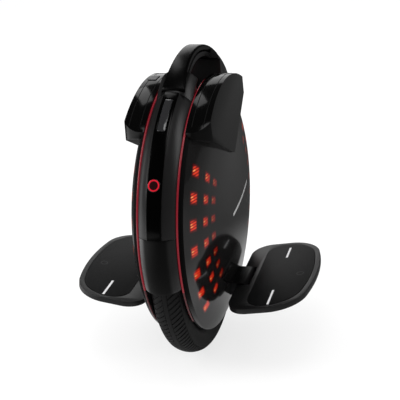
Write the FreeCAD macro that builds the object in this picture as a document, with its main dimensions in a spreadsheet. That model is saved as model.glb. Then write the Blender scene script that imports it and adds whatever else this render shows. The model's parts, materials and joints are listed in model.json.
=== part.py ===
import FreeCAD, Part
import os
import re
import Sketcher

# Electric unicycle. Z is up, the axle lies along X, the front faces -Y.
# The origin is on the floor, straight under the middle of the wheel.

doc = FreeCAD.newDocument("electric_unicycle")
Vector = FreeCAD.Vector

# Driving dimensions, millimetres and degrees
sizes = [
    # wheel
    ("tyre_radius", 203, "tyre radius, also the height of the axle"),
    ("tyre_width", 54, "widest part of the tyre"),
    ("tread_narrowing", 19, "how much narrower the crown is than the tyre"),
    ("tread_drop", 5, "crown height over the shoulders"),
    ("tyre_height", 50, "tyre's section height"),
    ("bead_narrowing", 20, "how much narrower the tyre is at its beads"),
    ("bead_height", 7, "straight part of the bead"),
    ("bead_thickness", 5, "bead thickness"),
    ("side_wall", 8, "tyre side wall with the room around the tube"),
    ("tube_wall", 2, "inner tube wall"),
    ("tyre_tread", 6.5, "rubber thickness at the crown"),
    ("flange_thickness", 3, "rim flange thickness"),
    ("flange_height", 6, "rim flange above the bead seat"),
    ("rim_depth", 21, "radial depth of the motor rim"),
    ("magnet_thickness", 4, "rotor magnet thickness"),
    ("magnet_inset", 3, "magnets inside the bead width, each side"),
    ("air_gap", 1, "gap between magnets and stator"),
    ("stator_inset", 5, "stator inside the bead width, each side"),
    ("stator_depth", 24, "radial depth of the stator stack"),
    ("slot_depth", 17, "stator slot depth"),
    ("slot_width", 4, "stator slot width"),
    ("slot_count", 30, "number of stator slots"),
    ("spider_width", 5, "thickness of the stator's spider"),
    ("winding_width", 4.5, "height of the winding heads"),
    ("cover_thickness", 4, "motor cover thickness"),
    ("cover_inset", 12, "motor cover inside the bead seat"),
    ("axle_radius", 10, "axle radius"),
    ("axle_end", 4, "axle end beyond the nut"),
    ("bearing_radius", 23.5, "bearing outside radius"),
    ("bearing_width", 14, "bearing width"),
    ("boss_wall", 7, "wall around the bearing seat"),
    ("cover_screw_count", 8, "screws in each motor cover"),
    ("cover_screw_inset", 4.5, "cover screws inside the cover's edge"),
    ("cover_screw_radius", 3.2, "cover screw head radius"),
    ("cover_screw_head", 2.2, "cover screw head height"),
    ("valve_radius", 4, "valve stem radius"),
    ("valve_length", 17, "valve stem length"),
    ("valve_inset", 7, "valve inside the bead seat"),
    # fits
    ("running_fit", 0.05, "radial clearance of a turning shaft"),
    ("seat_gap", 0.3, "gap between neighbouring pieces"),
    ("snug_gap", 0.05, "gap of pieces that are pressed together"),
    # shell
    ("shell_rise", 49, "shell centre above the axle"),
    ("shell_wall", 3, "side shell wall"),
    ("dome_rise", 41, "side shell pole above its rim plane"),
    ("dome_pole", 14, "radius of the level middle of the dome"),
    ("dome_flat_inset", 67, "start of the dome's fall, inside the rim"),
    ("dome_flat_drop", 13, "dome height lost at that place"),
    ("dome_edge_inset", 3, "start of the rim roll, inside the rim"),
    ("dome_edge_rise", 6, "dome height at the rim roll"),
    ("dome_swell", 2.6, "swell of the dome's shoulder over its chord"),
    ("shell_over", 4, "side shell rim beyond the tyre radius"),
    ("rim_room", 3.1, "side shell rim beyond the fender's side"),
    ("liner_thickness", 2.5, "inner liner thickness"),
    ("liner_inset", 1, "inner liner inside the shell's rim"),
    ("liner_hole", 62, "hole in the liner around the hub"),
    ("window_pitch", 12.6, "angle from one light window to the next"),
    ("window_rows", 4, "windows from the middle row to each end"),
    ("window_outer_inset", 24, "outer column of windows, inside the rim"),
    ("window_outer_size", 17, "outer window, radial size"),
    ("window_outer_length", 21, "outer window, length along the circle"),
    ("window_mid_inset", 56, "middle column of windows, inside the rim"),
    ("window_mid_size", 17, "middle window, radial size"),
    ("window_mid_length", 18, "middle window, length along the circle"),
    ("window_inner_inset", 82.5, "inner column of windows, inside the rim"),
    ("window_inner_size", 15, "inner window, radial size"),
    ("window_inner_length", 15, "inner window, length along the circle"),
    ("board_thickness", 1.6, "circuit board thickness"),
    ("board_gap", 0.8, "gap from a light board to the shell"),
    ("board_angle", 90, "angle that a light board spans"),
    ("line_radius", 1.5, "light line section radius"),
    ("line_over", 1.4, "light line beyond the shell's rim"),
    ("line_out", 1.5, "light line beside the fender"),
    ("line_half_angle", 128, "light line, half of the angle it spans"),
    # fenders along the middle
    ("side_room", 1.9, "fender side beyond the tyre"),
    ("fender_rise", 17, "fender crown above its edges"),
    ("fender_over", 2, "fender edges beyond the shell's rim"),
    ("skirt_depth", 10, "depth of the fender's skirts"),
    ("fender_wall", 2.8, "fender wall"),
    ("fender_top", 69.5, "angle where the front fender meets the handle"),
    ("rear_top", 50, "angle of the rear fender's upper end"),
    ("rear_strip_top", 25, "angle of the rear strip's upper end"),
    ("fender_split", 8.5, "angle where a fender meets its mudguard"),
    ("mudguard_end", -15, "angle of the mudguard's lower end"),
    ("wheel_clearance", 5, "room around the tyre"),
    ("strip_half_width", 11.5, "half width of the gloss strip"),
    ("strip_height", 1.4, "gloss strip above the fender crown"),
    ("reflector_angle", 28.8, "angle of the front reflector"),
    ("rear_reflector_angle", 16.5, "angle of the rear reflector"),
    ("reflector_radius", 9.5, "reflector radius"),
    ("reflector_height", 2, "reflector height"),
    ("tray_inset", 23, "grip well floor inside the tyre radius"),
    ("tray_thickness", 4, "grip well floor thickness"),
    # shoulders
    ("shoulder_inset", 1, "shoulder face inside the shell's pole"),
    ("shoulder_front", 131, "shoulder's front end before the middle"),
    ("shoulder_rear", 114, "shoulder's rear end behind the middle"),
    ("shoulder_over", 5, "top of the shoulder beyond the shell's rim"),
    ("shoulder_end", 10.4, "height of the shoulder's ends"),
    ("shoulder_point", 90, "shoulder's low point above the shell's middle"),
    ("shoulder_lean", 7, "lean of the shoulder's face towards the handle"),
    ("nose_share", 0.85, "share of the shoulder's front end that is rounded"),
    ("shoulder_corner", 28, "rounding of the shoulder's rear end"),
    # handle
    ("handle_rise", 80.6, "centre of the handle above the shell's"),
    ("handle_back", 32.6, "centre of the handle behind the shell's"),
    ("handle_half_width", 19.5, "half width of the handle at the cap's ends"),
    ("handle_waist", 12.5, "half width of the handle at its top"),
    ("grip_depth", 19, "depth of the handle"),
    ("cap_thickness", 11.5, "thickness of the pull-up cap"),
    ("cap_half_angle", 38.5, "half of the angle that the cap spans"),
    ("cap_end_gap", 0.5, "angle between cap and handle foot"),
    ("foot_start_angle", 25, "angle at which the handle feet begin"),
    ("foot_end_angle", 86, "angle at which the handle feet end"),
    ("foot_drop", 17, "fall of a foot's crown to its sides"),
    ("pillar_half", 11, "half depth of the handle's pillars"),
    ("leg_angle", 30, "angle of the telescopic legs on the handle"),
    ("sleeve_radius", 7.5, "leg sleeve outside radius"),
    ("sleeve_wall", 1.2, "leg tube wall"),
    ("sleeve_sink", 17, "leg sleeves below the grip well floor"),
    ("sleeve_margin", 4, "leg sleeves below the grip's top"),
    ("tube_shortening", 3, "each leg tube is this much shorter"),
    ("lens_half_width", 6.4, "headlight lens half width"),
    ("lens_low", 50, "headlight lens, lower end angle"),
    ("lens_high", 65.5, "headlight lens, upper end angle"),
    ("lens_depth", 1.5, "lens sunk into the fender or the foot"),
    ("tail_start", 50, "tail light lens, upper end angle on the handle"),
    ("tail_end", 66, "tail light lens, lower end angle on the handle"),
    ("lift_button_length", 28, "lift button along the grip"),
    ("lift_button_width", 14, "lift button across the grip"),
    ("lift_button_height", 6, "lift button height"),
    ("lift_button_proud", 2.5, "lift button below the grip"),
    # buttons and charging port on the shoulders
    ("button_length", 22, "power button length"),
    ("button_width", 14, "power button width"),
    ("button_height", 9, "power button height"),
    ("button_proud", 1, "power button above the shoulder"),
    ("button_travel", 1.6, "room under the buttons"),
    ("port_inset", 19, "button and port inside the shoulder's face"),
    ("port_angle", 13, "charging port behind the middle, angle"),
    ("socket_radius", 6.5, "charging socket outside radius"),
    ("socket_bore", 4.5, "charging socket bore radius"),
    ("socket_length", 13, "charging socket length"),
    ("socket_depth", 10, "charging socket bore depth"),
    ("flap_length", 30, "charging port flap length"),
    ("flap_width", 15, "charging port flap width"),
    ("flap_thickness", 4, "charging port flap thickness"),
    # pedals
    ("pin_gap", 6, "pedal hinge beyond the side shell"),
    ("pin_drop", 91, "pedal hinge below the axle"),
    ("pin_radius", 5, "pedal hinge pin radius"),
    ("pedal_tilt", 8.8, "upward tilt of an open pedal"),
    ("pedal_inset", 9, "pedal edge inside the hinge"),
    ("pedal_width", 132, "pedal width"),
    ("pedal_half_length", 120, "half length of a pedal"),
    ("pedal_thickness", 9, "pedal thickness"),
    ("lug_depth", 17, "thickness of the pedal's hinge lugs"),
    ("lug_reach", 12, "hinge lugs beyond the hinge"),
    ("lug_width", 26, "length of a hinge lug"),
    ("pedal_rise", 9, "pedal top above the hinge"),
    ("pedal_inner_corner", 34, "inner corner of a pedal"),
    ("pedal_outer_corner", 50, "outer corner of a pedal"),
    ("pedal_bow", 7, "bow of the pedal's outer edge"),
    ("notch_half_length", 33, "half length of the hinge notch"),
    ("notch_depth", 13, "hinge notch from the hinge"),
    ("lug_length", 21, "pin engagement in each pedal lug"),
    ("pad_inset", 8, "grip pad from the pedal's edge"),
    ("pad_depth", 1.5, "depth of the pad's recess"),
    ("pad_thickness", 2, "grip pad thickness"),
    ("hollow_inset", 10, "pedal rim around its hollow underside"),
    ("hollow_depth", 4, "depth of the pedal's underside"),
    ("hollow_corner", 20, "inner corner of the pedal's underside"),
    # pedal hangers
    ("hanger_thickness", 13, "pedal hanger thickness"),
    ("hanger_top", 34, "hanger radius around the axle"),
    ("knuckle_radius", 11, "hinge knuckle radius"),
    ("knuckle_half_length", 32, "half length of the hinge knuckle"),
    ("stop_reach", 28, "pedal stop shelf from the hinge"),
    ("stop_half_length", 30, "half length of the stop shelf"),
    ("stop_thickness", 4.5, "stop shelf thickness"),
    ("nut_radius", 17, "axle nut radius over its corners"),
    ("nut_height", 8, "axle nut height"),
    ("hanger_bolt_radius", 4, "hanger bolt radius"),
    ("hanger_bolt_head", 7, "hanger bolt head radius"),
    ("hanger_bolt_y", 24, "hanger bolts from the middle"),
    ("hanger_bolt_drop", 52, "hanger bolts below the axle"),
    # inside the side shells
    ("pack_width", 65, "radial width of the packs and the board"),
    ("pack_inset", 47, "packs and board inside the shell's rim"),
    ("battery_depth", 13.5, "battery pack depth"),
    ("battery_angle", 140, "angle that a battery pack spans"),
    ("control_angle", 43, "angle that the control board spans"),
    ("control_place", 33.5, "control board below the rear, angle"),
    ("sink_base", 3, "heat sink base thickness"),
    ("sink_height", 12, "heat sink height"),
    ("sink_margin", 6, "heat sink inside the control board"),
    ("fin_count", 8, "heat sink fins"),
    ("fin_angle", 2, "angle of one heat sink fin"),
    ("speaker_radius", 26, "speaker radius"),
    ("speaker_depth", 17, "speaker depth"),
]

# Sizes that follow from the ones above
derived = {
    "bead_radius": "(tyre_radius - tyre_height)",
    "bead_width": "(tyre_width - bead_narrowing)",
    "tread_width": "(tyre_width - tread_narrowing)",
    "tube_radius": "(tyre_width / 2 - side_wall)",
    "rim_inner": "(bead_radius - rim_depth)",
    "magnet_width": "(bead_width - magnet_inset * 2)",
    "stator_width": "(bead_width - stator_inset * 2)",
    "cover_radius": "(bead_radius - cover_inset)",
    "cover_screw_circle": "(cover_radius - cover_screw_inset)",
    "valve_circle": "(bead_radius - valve_inset)",
    "fender_half_width": "(tyre_width / 2 + side_room)",
    "rim_x": "(fender_half_width + rim_room)",
    "rim_radius": "(tyre_radius + shell_over)",
    "dome_depth": "(rim_x + dome_rise)",
    "dome_flat_radius": "(rim_radius - dome_flat_inset)",
    "dome_flat_x": "(dome_depth - dome_flat_drop)",
    "dome_edge_radius": "(rim_radius - dome_edge_inset)",
    "dome_edge_x": "(rim_x + dome_edge_rise)",
    "liner_radius": "(rim_radius - liner_inset)",
    "window_outer_radius": "(rim_radius - window_outer_inset)",
    "window_mid_radius": "(rim_radius - window_mid_inset)",
    "window_inner_radius": "(rim_radius - window_inner_inset)",
    "line_circle": "(rim_radius + line_over)",
    "line_x": "(fender_half_width + line_out)",
    "fender_edge": "(rim_radius + fender_over)",
    "fender_crown": "(fender_edge + fender_rise)",
    "fender_skirt": "(fender_edge - skirt_depth)",
    "tray_radius": "(tyre_radius - tray_inset)",
    "shoulder_reach": "(dome_depth - shoulder_inset)",
    "shoulder_nose": "((shoulder_reach - rim_x) * nose_share)",
    "shoulder_radius": "(rim_radius + shoulder_over)",
    "front_rise": "sqrt(shoulder_radius^2 - shoulder_front^2)",
    "rear_rise": "sqrt(shoulder_radius^2 - shoulder_rear^2)",
    "port_x": "(shoulder_reach - port_inset)",
    "shell_height": "(tyre_radius + shell_rise)",
    "handle_height": "(shell_height + handle_rise)",
    "joint_y": "(fender_crown * cos(fender_top * 1 deg) + handle_back)",
    "joint_z": "(fender_crown * sin(fender_top * 1 deg) - handle_rise)",
    "handle_radius": "sqrt(joint_y^2 + joint_z^2)",
    "overall_height": "(handle_height + handle_radius)",
    "handle_inner": "(handle_radius - grip_depth)",
    "cap_under": "(handle_radius - cap_thickness)",
    "leg_place": "(handle_radius * sin(leg_angle * 1 deg))",
    "pillar_near": "(leg_place - pillar_half)",
    "pillar_far": "(leg_place + pillar_half)",
    "sleeve_bottom": "(shell_height + sqrt(tray_radius^2 - (leg_place - handle_back)^2) - sleeve_sink)",
    "sleeve_head": "sqrt((cap_under - seat_gap)^2 - (leg_place + sleeve_radius)^2)",
    "sleeve_length": "(handle_height + sleeve_head - sleeve_margin - sleeve_bottom)",
    "pin_x": "(dome_depth + pin_gap)",
    "pin_z": "(tyre_radius - pin_drop)",
    "battery_outer": "(rim_radius - pack_inset)",
    "battery_inner": "(battery_outer - pack_width)",
    "control_outer": "(rim_radius - pack_inset)",
    "control_inner": "(control_outer - pack_width)",
    "liner_x": "(rim_x - snug_gap - liner_thickness)",
    "inside_x": "(rim_x + seat_gap)",
    "hanger_x": "(rim_x - snug_gap)",
    "hanger_face": "(hanger_x + hanger_thickness)",
    "cover_x": "(bead_width / 2 + snug_gap + flange_thickness)",
    "axle_length": "((hanger_face + nut_height + axle_end) * 2)",
}

sheet = doc.addObject("Spreadsheet::Sheet", "Sizes")
for row, (alias, number, note) in enumerate(sizes, start=1):
    sheet.set(f"A{row}", note)
    sheet.set(f"B{row}", str(number))
    sheet.setAlias(f"B{row}", alias)
doc.recompute()
aliases = {alias for alias, number, note in sizes}


def bound(text):
    """The text with every size's name pointing at the sheet."""
    def point(match):
        word = match.group(0)
        if word in derived:
            return bound(derived[word])
        return f"Sizes.{word}" if word in aliases else word
    return re.sub(r"[a-z][a-z_]*", point, text)


def value(text):
    """What the text comes to with the present sizes."""
    return float(sheet.evalExpression(bound(text)))


def named(kind, label):
    """A new object whose name and label are the node's name."""
    item = doc.addObject(kind, label)
    item.Label = label
    return item


def place(item, x="0", y="0", z="0", axis=None, turn=None):
    """Puts an object at x, y, z, turned about an axis, all bound to the sheet."""
    rotation = FreeCAD.Rotation(axis, value(turn)) if axis else FreeCAD.Rotation()
    item.Placement = FreeCAD.Placement(Vector(value(x), value(y), value(z)), rotation)
    for letter, text in (("x", x), ("y", y), ("z", z)):
        if text != "0":
            item.setExpression(f"Placement.Base.{letter}", bound(text))
    if axis:
        item.setExpression("Placement.Rotation.Angle", f"({bound(turn)}) * 1 deg")


def new_body(label, **where):
    """A body at its place."""
    item = named("PartDesign::Body", label)
    place(item, **where)
    return item


def origin_part(body, role):
    """A plane or axis of a body's own origin."""
    return next(part for part in body.Origin.OriginFeatures if part.Role == role)


def new_sketch(body, plane, offset=None, turn=None):
    """A sketch on one of the body's planes, lifted by offset or turned about its X axis."""
    sketch = body.newObject("Sketcher::SketchObject", f"{body.Name}_sketch")
    sketch.AttachmentSupport = (origin_part(body, plane), [""])
    sketch.MapMode = "FlatFace"
    if offset:
        sketch.setExpression("AttachmentOffset.Base.z", bound(offset))
    if turn:
        sketch.AttachmentOffset = FreeCAD.Placement(
            Vector(), FreeCAD.Rotation(Vector(1, 0, 0), value(turn)))
        sketch.setExpression("AttachmentOffset.Rotation.Angle", f"({bound(turn)}) * 1 deg")
    return sketch


def fix_point(sketch, geometry, position, x, y):
    """Holds a point of the sketch at x and y, bound to the sheet."""
    for kind, text, line in (("DistanceX", x, -2), ("DistanceY", y, -1)):
        if abs(value(text)) < 1e-9:
            sketch.addConstraint(Sketcher.Constraint("PointOnObject", geometry, position, line))
            continue
        index = sketch.addConstraint(
            Sketcher.Constraint(kind, -1, 1, geometry, position, value(text)))
        sketch.setExpression(f"Constraints[{index}]", bound(text))


def outline(sketch, corners):
    """Closed outline. A corner is (x, y), or (x, y, (via x, via y)) if an arc leaves it."""
    points = [Vector(value(corner[0]), value(corner[1]), 0) for corner in corners]
    ends = []
    vias = []
    for index, corner in enumerate(corners):
        start = points[index]
        finish = points[(index + 1) % len(points)]
        if len(corner) == 2:
            edge = sketch.addGeometry(Part.LineSegment(start, finish))
            ends.append((edge, 1, 2))
            continue
        via = Vector(value(corner[2][0]), value(corner[2][1]), 0)
        arc = Part.Arc(start, via, finish)
        edge = sketch.addGeometry(arc)
        forward = sketch.getPoint(edge, 1).distanceToPoint(start) < 1e-6
        ends.append((edge, 1, 2) if forward else (edge, 2, 1))
        vias.append((edge, via, corner[2]))
    for index, (edge, first, last) in enumerate(ends):
        follower, follower_first, follower_last = ends[(index + 1) % len(ends)]
        sketch.addConstraint(
            Sketcher.Constraint("Coincident", edge, last, follower, follower_first))
        fix_point(sketch, edge, first, corners[index][0], corners[index][1])
    for edge, via, texts in vias:
        mark = sketch.addGeometry(Part.Point(via), True)
        sketch.addConstraint(Sketcher.Constraint("PointOnObject", mark, 1, edge))
        fix_point(sketch, mark, 1, *texts)


def box_outline(sketch, left, low, right, high):
    """A rectangle from its lower left to its upper right corner."""
    outline(sketch, [(left, low), (right, low), (right, high), (left, high)])


def circle(sketch, x, y, radius):
    """A circle bound to the sheet."""
    centre = Vector(value(x), value(y), 0)
    index = sketch.addGeometry(Part.Circle(centre, Vector(0, 0, 1), value(radius)))
    fix_point(sketch, index, 3, x, y)
    held = sketch.addConstraint(Sketcher.Constraint("Radius", index, value(radius)))
    sketch.setExpression(f"Constraints[{held}]", bound(radius))


def revolve(body, sketch, angle="360", axis="X_Axis"):
    """Turns the sketch about an axis of the body, evenly to both sides of its plane."""
    feature = body.newObject("PartDesign::Revolution", f"{body.Name}_turned")
    feature.Profile = sketch
    feature.ReferenceAxis = (origin_part(body, axis), [""])
    feature.Midplane = angle != "360"
    feature.setExpression("Angle", f"({bound(angle)}) * 1 deg")
    return feature


def pad(body, sketch, length, both=False):
    """Pads the sketch along its normal, or evenly to both sides."""
    feature = body.newObject("PartDesign::Pad", f"{body.Name}_pad")
    feature.Profile = sketch
    feature.SideType = "Symmetric" if both else "One side"
    feature.setExpression("Length", bound(length))
    return feature


def pocket(body, sketch, length, both=False, back=False):
    """Cuts the sketch into the body. It stops the build if nothing is cut."""
    doc.recompute()
    before = body.Shape.Volume
    feature = body.newObject("PartDesign::Pocket", f"{body.Name}_pocket")
    feature.Profile = sketch
    feature.SideType = "Symmetric" if both else "One side"
    feature.Reversed = back
    feature.setExpression("Length", bound(length))
    doc.recompute()
    if before - body.Shape.Volume < 1e-3:
        raise RuntimeError(f"{body.Name}: a pocket cuts nothing")
    return feature


def polar(body, feature, count, angle, back=False):
    """Repeats a feature about the body's X axis."""
    pattern = body.newObject("PartDesign::PolarPattern", f"{body.Name}_round")
    pattern.Originals = [feature]
    pattern.Axis = (origin_part(body, "X_Axis"), [""])
    pattern.Reversed = back
    pattern.setExpression("Occurrences", bound(count))
    pattern.setExpression("Angle", f"({bound(angle)}) * 1 deg")
    body.Tip = pattern
    return pattern


def rounded(body, edges, radius):
    """Fillets the edges of the body's present shape that the test picks."""
    doc.recompute()
    base = body.Tip
    picked = [f"Edge{index}" for index, edge in enumerate(body.Shape.Edges, start=1) if edges(edge)]
    feature = body.newObject("PartDesign::Fillet", f"{body.Name}_fillet")
    feature.Base = (base, picked)
    feature.setExpression("Radius", bound(radius))
    return feature


def cut(label, base, tools):
    """The base with one or more tools taken away."""
    shape = base
    for index, tool in enumerate(tools, start=1):
        last = index == len(tools)
        step = named("Part::Cut", label if last else f"{label}_step_{index}")
        step.Base = shape
        step.Tool = tool
        shape = step
    return shape


def common(label, base, tool):
    """What two shapes share."""
    item = named("Part::Common", label)
    item.Base = base
    item.Tool = tool
    return item


def mirrored(label, source, normal):
    """The same piece on the other side of the middle."""
    item = named("Part::Mirroring", label)
    item.Source = source
    item.Normal = normal
    return item


def group(label, members):
    """Separate solids that share a node."""
    item = named("Part::Compound", label)
    item.Links = members
    return item


across = Vector(1, 0, 0)
along = Vector(0, 1, 0)
nodes = []


def keep(*items):
    """Notes pieces that belong to the object."""
    nodes.extend(items)
    return items[0]


# Wheel
def wheel_body(label):
    """A body on the axle."""
    return new_body(label, z="tyre_radius")


def ring(label, left, low, right, high, make=wheel_body):
    """A plain ring of rectangular section about the body's X axis."""
    body = make(label)
    sketch = new_sketch(body, "XZ_Plane")
    box_outline(sketch, left, low, right, high)
    revolve(body, sketch)
    return body


def tyre_section(room):
    """Corners of the tyre's section, grown by some room."""
    half = f"(tyre_width / 2 + {room})"
    crown = f"(tyre_radius + {room})"
    shoulder = f"(tyre_radius - tread_drop + {room} / 2)"
    tread = f"(tread_width / 2 + {room} / 2)"
    bead = f"(bead_width / 2 + {room})"
    top = "(bead_radius + bead_height)"
    middle = f"(({shoulder} + {top}) / 2)"
    return half, crown, shoulder, tread, bead, top, middle


def build_tyre():
    """Tyre with an open bead, so that the tube and the rim fit inside."""
    half, crown, shoulder, tread, bead, top, middle = tyre_section("0")
    lip = "(bead_width / 2 - bead_thickness)"
    room = "(tube_radius + seat_gap)"
    centre = "(tyre_radius - tyre_tread - tube_radius - seat_gap)"
    throat = f"({centre} - sqrt({room}^2 - {lip}^2))"
    body = wheel_body("tyre")
    sketch = new_sketch(body, "XZ_Plane")
    outline(sketch, [
        (lip, "bead_radius"),
        (bead, "bead_radius"),
        (bead, top, (half, middle)),
        (tread, shoulder, ("0", crown)),
        (f"-{tread}", shoulder, (f"-{half}", middle)),
        (f"-{bead}", top),
        (f"-{bead}", "bead_radius"),
        (f"-{lip}", "bead_radius"),
        (f"-{lip}", throat, ("0", f"{centre} + {room}")),
        (lip, throat)])
    revolve(body, sketch)
    tube = wheel_body("inner_tube")
    sketch = new_sketch(tube, "XZ_Plane")
    circle(sketch, "0", centre, "tube_radius")
    circle(sketch, "0", centre, "tube_radius - tube_wall")
    revolve(tube, sketch)
    keep(body, tube)


def build_motor():
    """Rim, magnets, covers and bearings that turn, and the stator that stays."""
    half = "(bead_width / 2 + snug_gap)"
    seat = "(bead_radius - snug_gap)"
    rim = wheel_body("motor_rim")
    sketch = new_sketch(rim, "XZ_Plane")
    outline(sketch, [
        ("-cover_x", "rim_inner"),
        ("cover_x", "rim_inner"),
        ("cover_x", "bead_radius + flange_height"),
        (half, "bead_radius + flange_height"),
        (half, seat),
        (f"-{half}", seat),
        (f"-{half}", "bead_radius + flange_height"),
        ("-cover_x", "bead_radius + flange_height")])
    revolve(rim, sketch)
    hole = new_sketch(rim, "YZ_Plane", offset="cover_x")
    circle(hole, "0", "valve_circle", "valve_radius + snug_gap")
    valve_seat = "(valve_length - 5)"
    pocket(rim, hole, valve_seat)
    keep(rim)

    valve = wheel_body("valve_stem")
    sketch = new_sketch(valve, "YZ_Plane", offset=f"cover_x - {valve_seat} + snug_gap")
    circle(sketch, "0", "valve_circle", "valve_radius")
    pad(valve, sketch, "valve_length")
    keep(valve)

    stator_radius = "(rim_inner - magnet_thickness - air_gap)"
    keep(ring("magnet_ring", "-magnet_width / 2", "rim_inner - magnet_thickness",
              "magnet_width / 2", "rim_inner - snug_gap"))

    seat_radius = "(bearing_radius + snug_gap)"
    boss_x = "(cover_x + cover_thickness - bearing_width)"
    cover = wheel_body("motor_cover_right")
    sketch = new_sketch(cover, "XZ_Plane")
    outline(sketch, [
        (boss_x, seat_radius),
        ("cover_x + cover_thickness", seat_radius),
        ("cover_x + cover_thickness", "cover_radius"),
        ("cover_x", "cover_radius"),
        ("cover_x", f"{seat_radius} + boss_wall"),
        (boss_x, f"{seat_radius} + boss_wall")])
    revolve(cover, sketch)
    keep(cover, mirrored("motor_cover_left", cover, across))

    bearing = ring("bearing_right", boss_x, "axle_radius + running_fit",
                   "cover_x + cover_thickness", "bearing_radius")
    keep(group("wheel_bearings", [bearing, mirrored("bearing_left", bearing, across)]))

    screws = []
    for index in range(int(value("cover_screw_count"))):
        turn = f"{index} * 360 / cover_screw_count"
        head = named("Part::Cylinder", f"cover_screw_{index + 1}")
        head.setExpression("Radius", bound("cover_screw_radius"))
        head.setExpression("Height", bound("cover_screw_head"))
        head.Placement.Rotation = FreeCAD.Rotation(Vector(0, 1, 0), 90)
        for letter, text in (
                ("x", "cover_x + cover_thickness"),
                ("y", f"cover_screw_circle * cos({turn} * 1 deg)"),
                ("z", f"tyre_radius + cover_screw_circle * sin({turn} * 1 deg)")):
            head.setExpression(f"Placement.Base.{letter}", bound(text))
        screws.append(head)
    right = group("cover_screws_right", screws)
    keep(group("cover_screws", [right, mirrored("cover_screws_left", right, across)]))

    half = "stator_width / 2"
    root = f"({stator_radius} - stator_depth)"
    core = wheel_body("stator_core")
    sketch = new_sketch(core, "XZ_Plane")
    outline(sketch, [
        ("-spider_width / 2", "axle_radius + snug_gap"),
        ("spider_width / 2", "axle_radius + snug_gap"),
        ("spider_width / 2", root),
        (half, root),
        (half, stator_radius),
        (f"-{half}", stator_radius),
        (f"-{half}", root),
        ("-spider_width / 2", root)])
    revolve(core, sketch)
    slot = new_sketch(core, "YZ_Plane")
    box_outline(slot, "-slot_width / 2", f"{stator_radius} - slot_depth", "slot_width / 2",
                f"{stator_radius} + 1")
    polar(core, pocket(core, slot, "stator_width + 2", both=True), "slot_count", "360")
    keep(core)
    head = ring("winding_right", half, f"{root} + 2", f"{half} + winding_width",
                f"{stator_radius} - 3")
    keep(group("stator_windings", [head, mirrored("winding_left", head, across)]))

    axle = new_body("axle", z="tyre_radius")
    sketch = new_sketch(axle, "YZ_Plane")
    circle(sketch, "0", "0", "axle_radius")
    pad(axle, sketch, "axle_length", both=True)
    keep(axle)


# Side shells, concentric about the shell's own centre
def shell_body(label):
    """A body at the centre of the side shells."""
    return new_body(label, z="shell_height")


def dome_profile(depth):
    """Points of a side shell's section, at a depth below its outside."""
    pole = (f"dome_depth - {depth}", "dome_pole")
    flat_via = (f"dome_depth - (dome_depth - dome_flat_x) / 4 - {depth}", "dome_flat_radius / 2")
    flat = (f"dome_flat_x - {depth}", f"dome_flat_radius - {depth} * 0.1")
    shoulder_via = (f"(dome_flat_x + dome_edge_x) / 2 + dome_swell - {depth} * 0.93",
                    f"(dome_flat_radius + dome_edge_radius + dome_swell) / 2 - {depth} * 0.36")
    edge = (f"dome_edge_x - {depth} * 0.79", f"dome_edge_radius - {depth} * 0.61")
    roll_via = (f"(dome_edge_x + rim_x) / 2 + 0.5 - {depth} * 0.42",
                f"(dome_edge_radius + rim_radius) / 2 + 0.7 - {depth} * 0.9")
    rim = ("rim_x", f"rim_radius - {depth}")
    return pole, flat_via, flat, shoulder_via, edge, roll_via, rim


def dome_outline(sketch):
    """Half section of a side shell, filled to its rim plane."""
    pole, flat_via, flat, shoulder_via, edge, roll_via, rim = dome_profile("0")
    outline(sketch, [
        ("rim_x", "0"), ("dome_depth", "0"), (*pole, flat_via), (*flat, shoulder_via),
        (*edge, roll_via), rim])


def wall_outline(sketch):
    """Half section of a side shell's wall."""
    pole, flat_via, flat, shoulder_via, edge, roll_via, rim = dome_profile("0")
    corners = [
        ("dome_depth", "0"), (*pole, flat_via), (*flat, shoulder_via), (*edge, roll_via), rim]
    pole, flat_via, flat, shoulder_via, edge, roll_via, rim = dome_profile("shell_wall")
    corners += [
        (*rim, roll_via), (*edge, shoulder_via), (*flat, flat_via), pole,
        ("dome_depth - shell_wall", "0")]
    outline(sketch, corners)


def window_blocks():
    """Blocks that reach through a side shell where its light windows are."""
    blocks = []
    depth = value("dome_depth")
    rows = int(value("window_rows")) - 1
    for column in ("outer", "mid", "inner"):
        middle = value(f"window_{column}_radius")
        size = value(f"window_{column}_size")
        length = value(f"window_{column}_length")
        for row in range(-rows, rows + 1):
            for start in (0, 180):
                block = Part.makeBox(depth, size, length)
                block.translate(Vector(0, middle - size / 2, -length / 2))
                turn = start + row * value("window_pitch")
                block.rotate(Vector(), Vector(1, 0, 0), turn)
                blocks.append(block)
    item = named("Part::Feature", "window_blocks")
    item.Shape = Part.makeCompound(blocks)
    place(item, z="shell_height")
    return item


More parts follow.
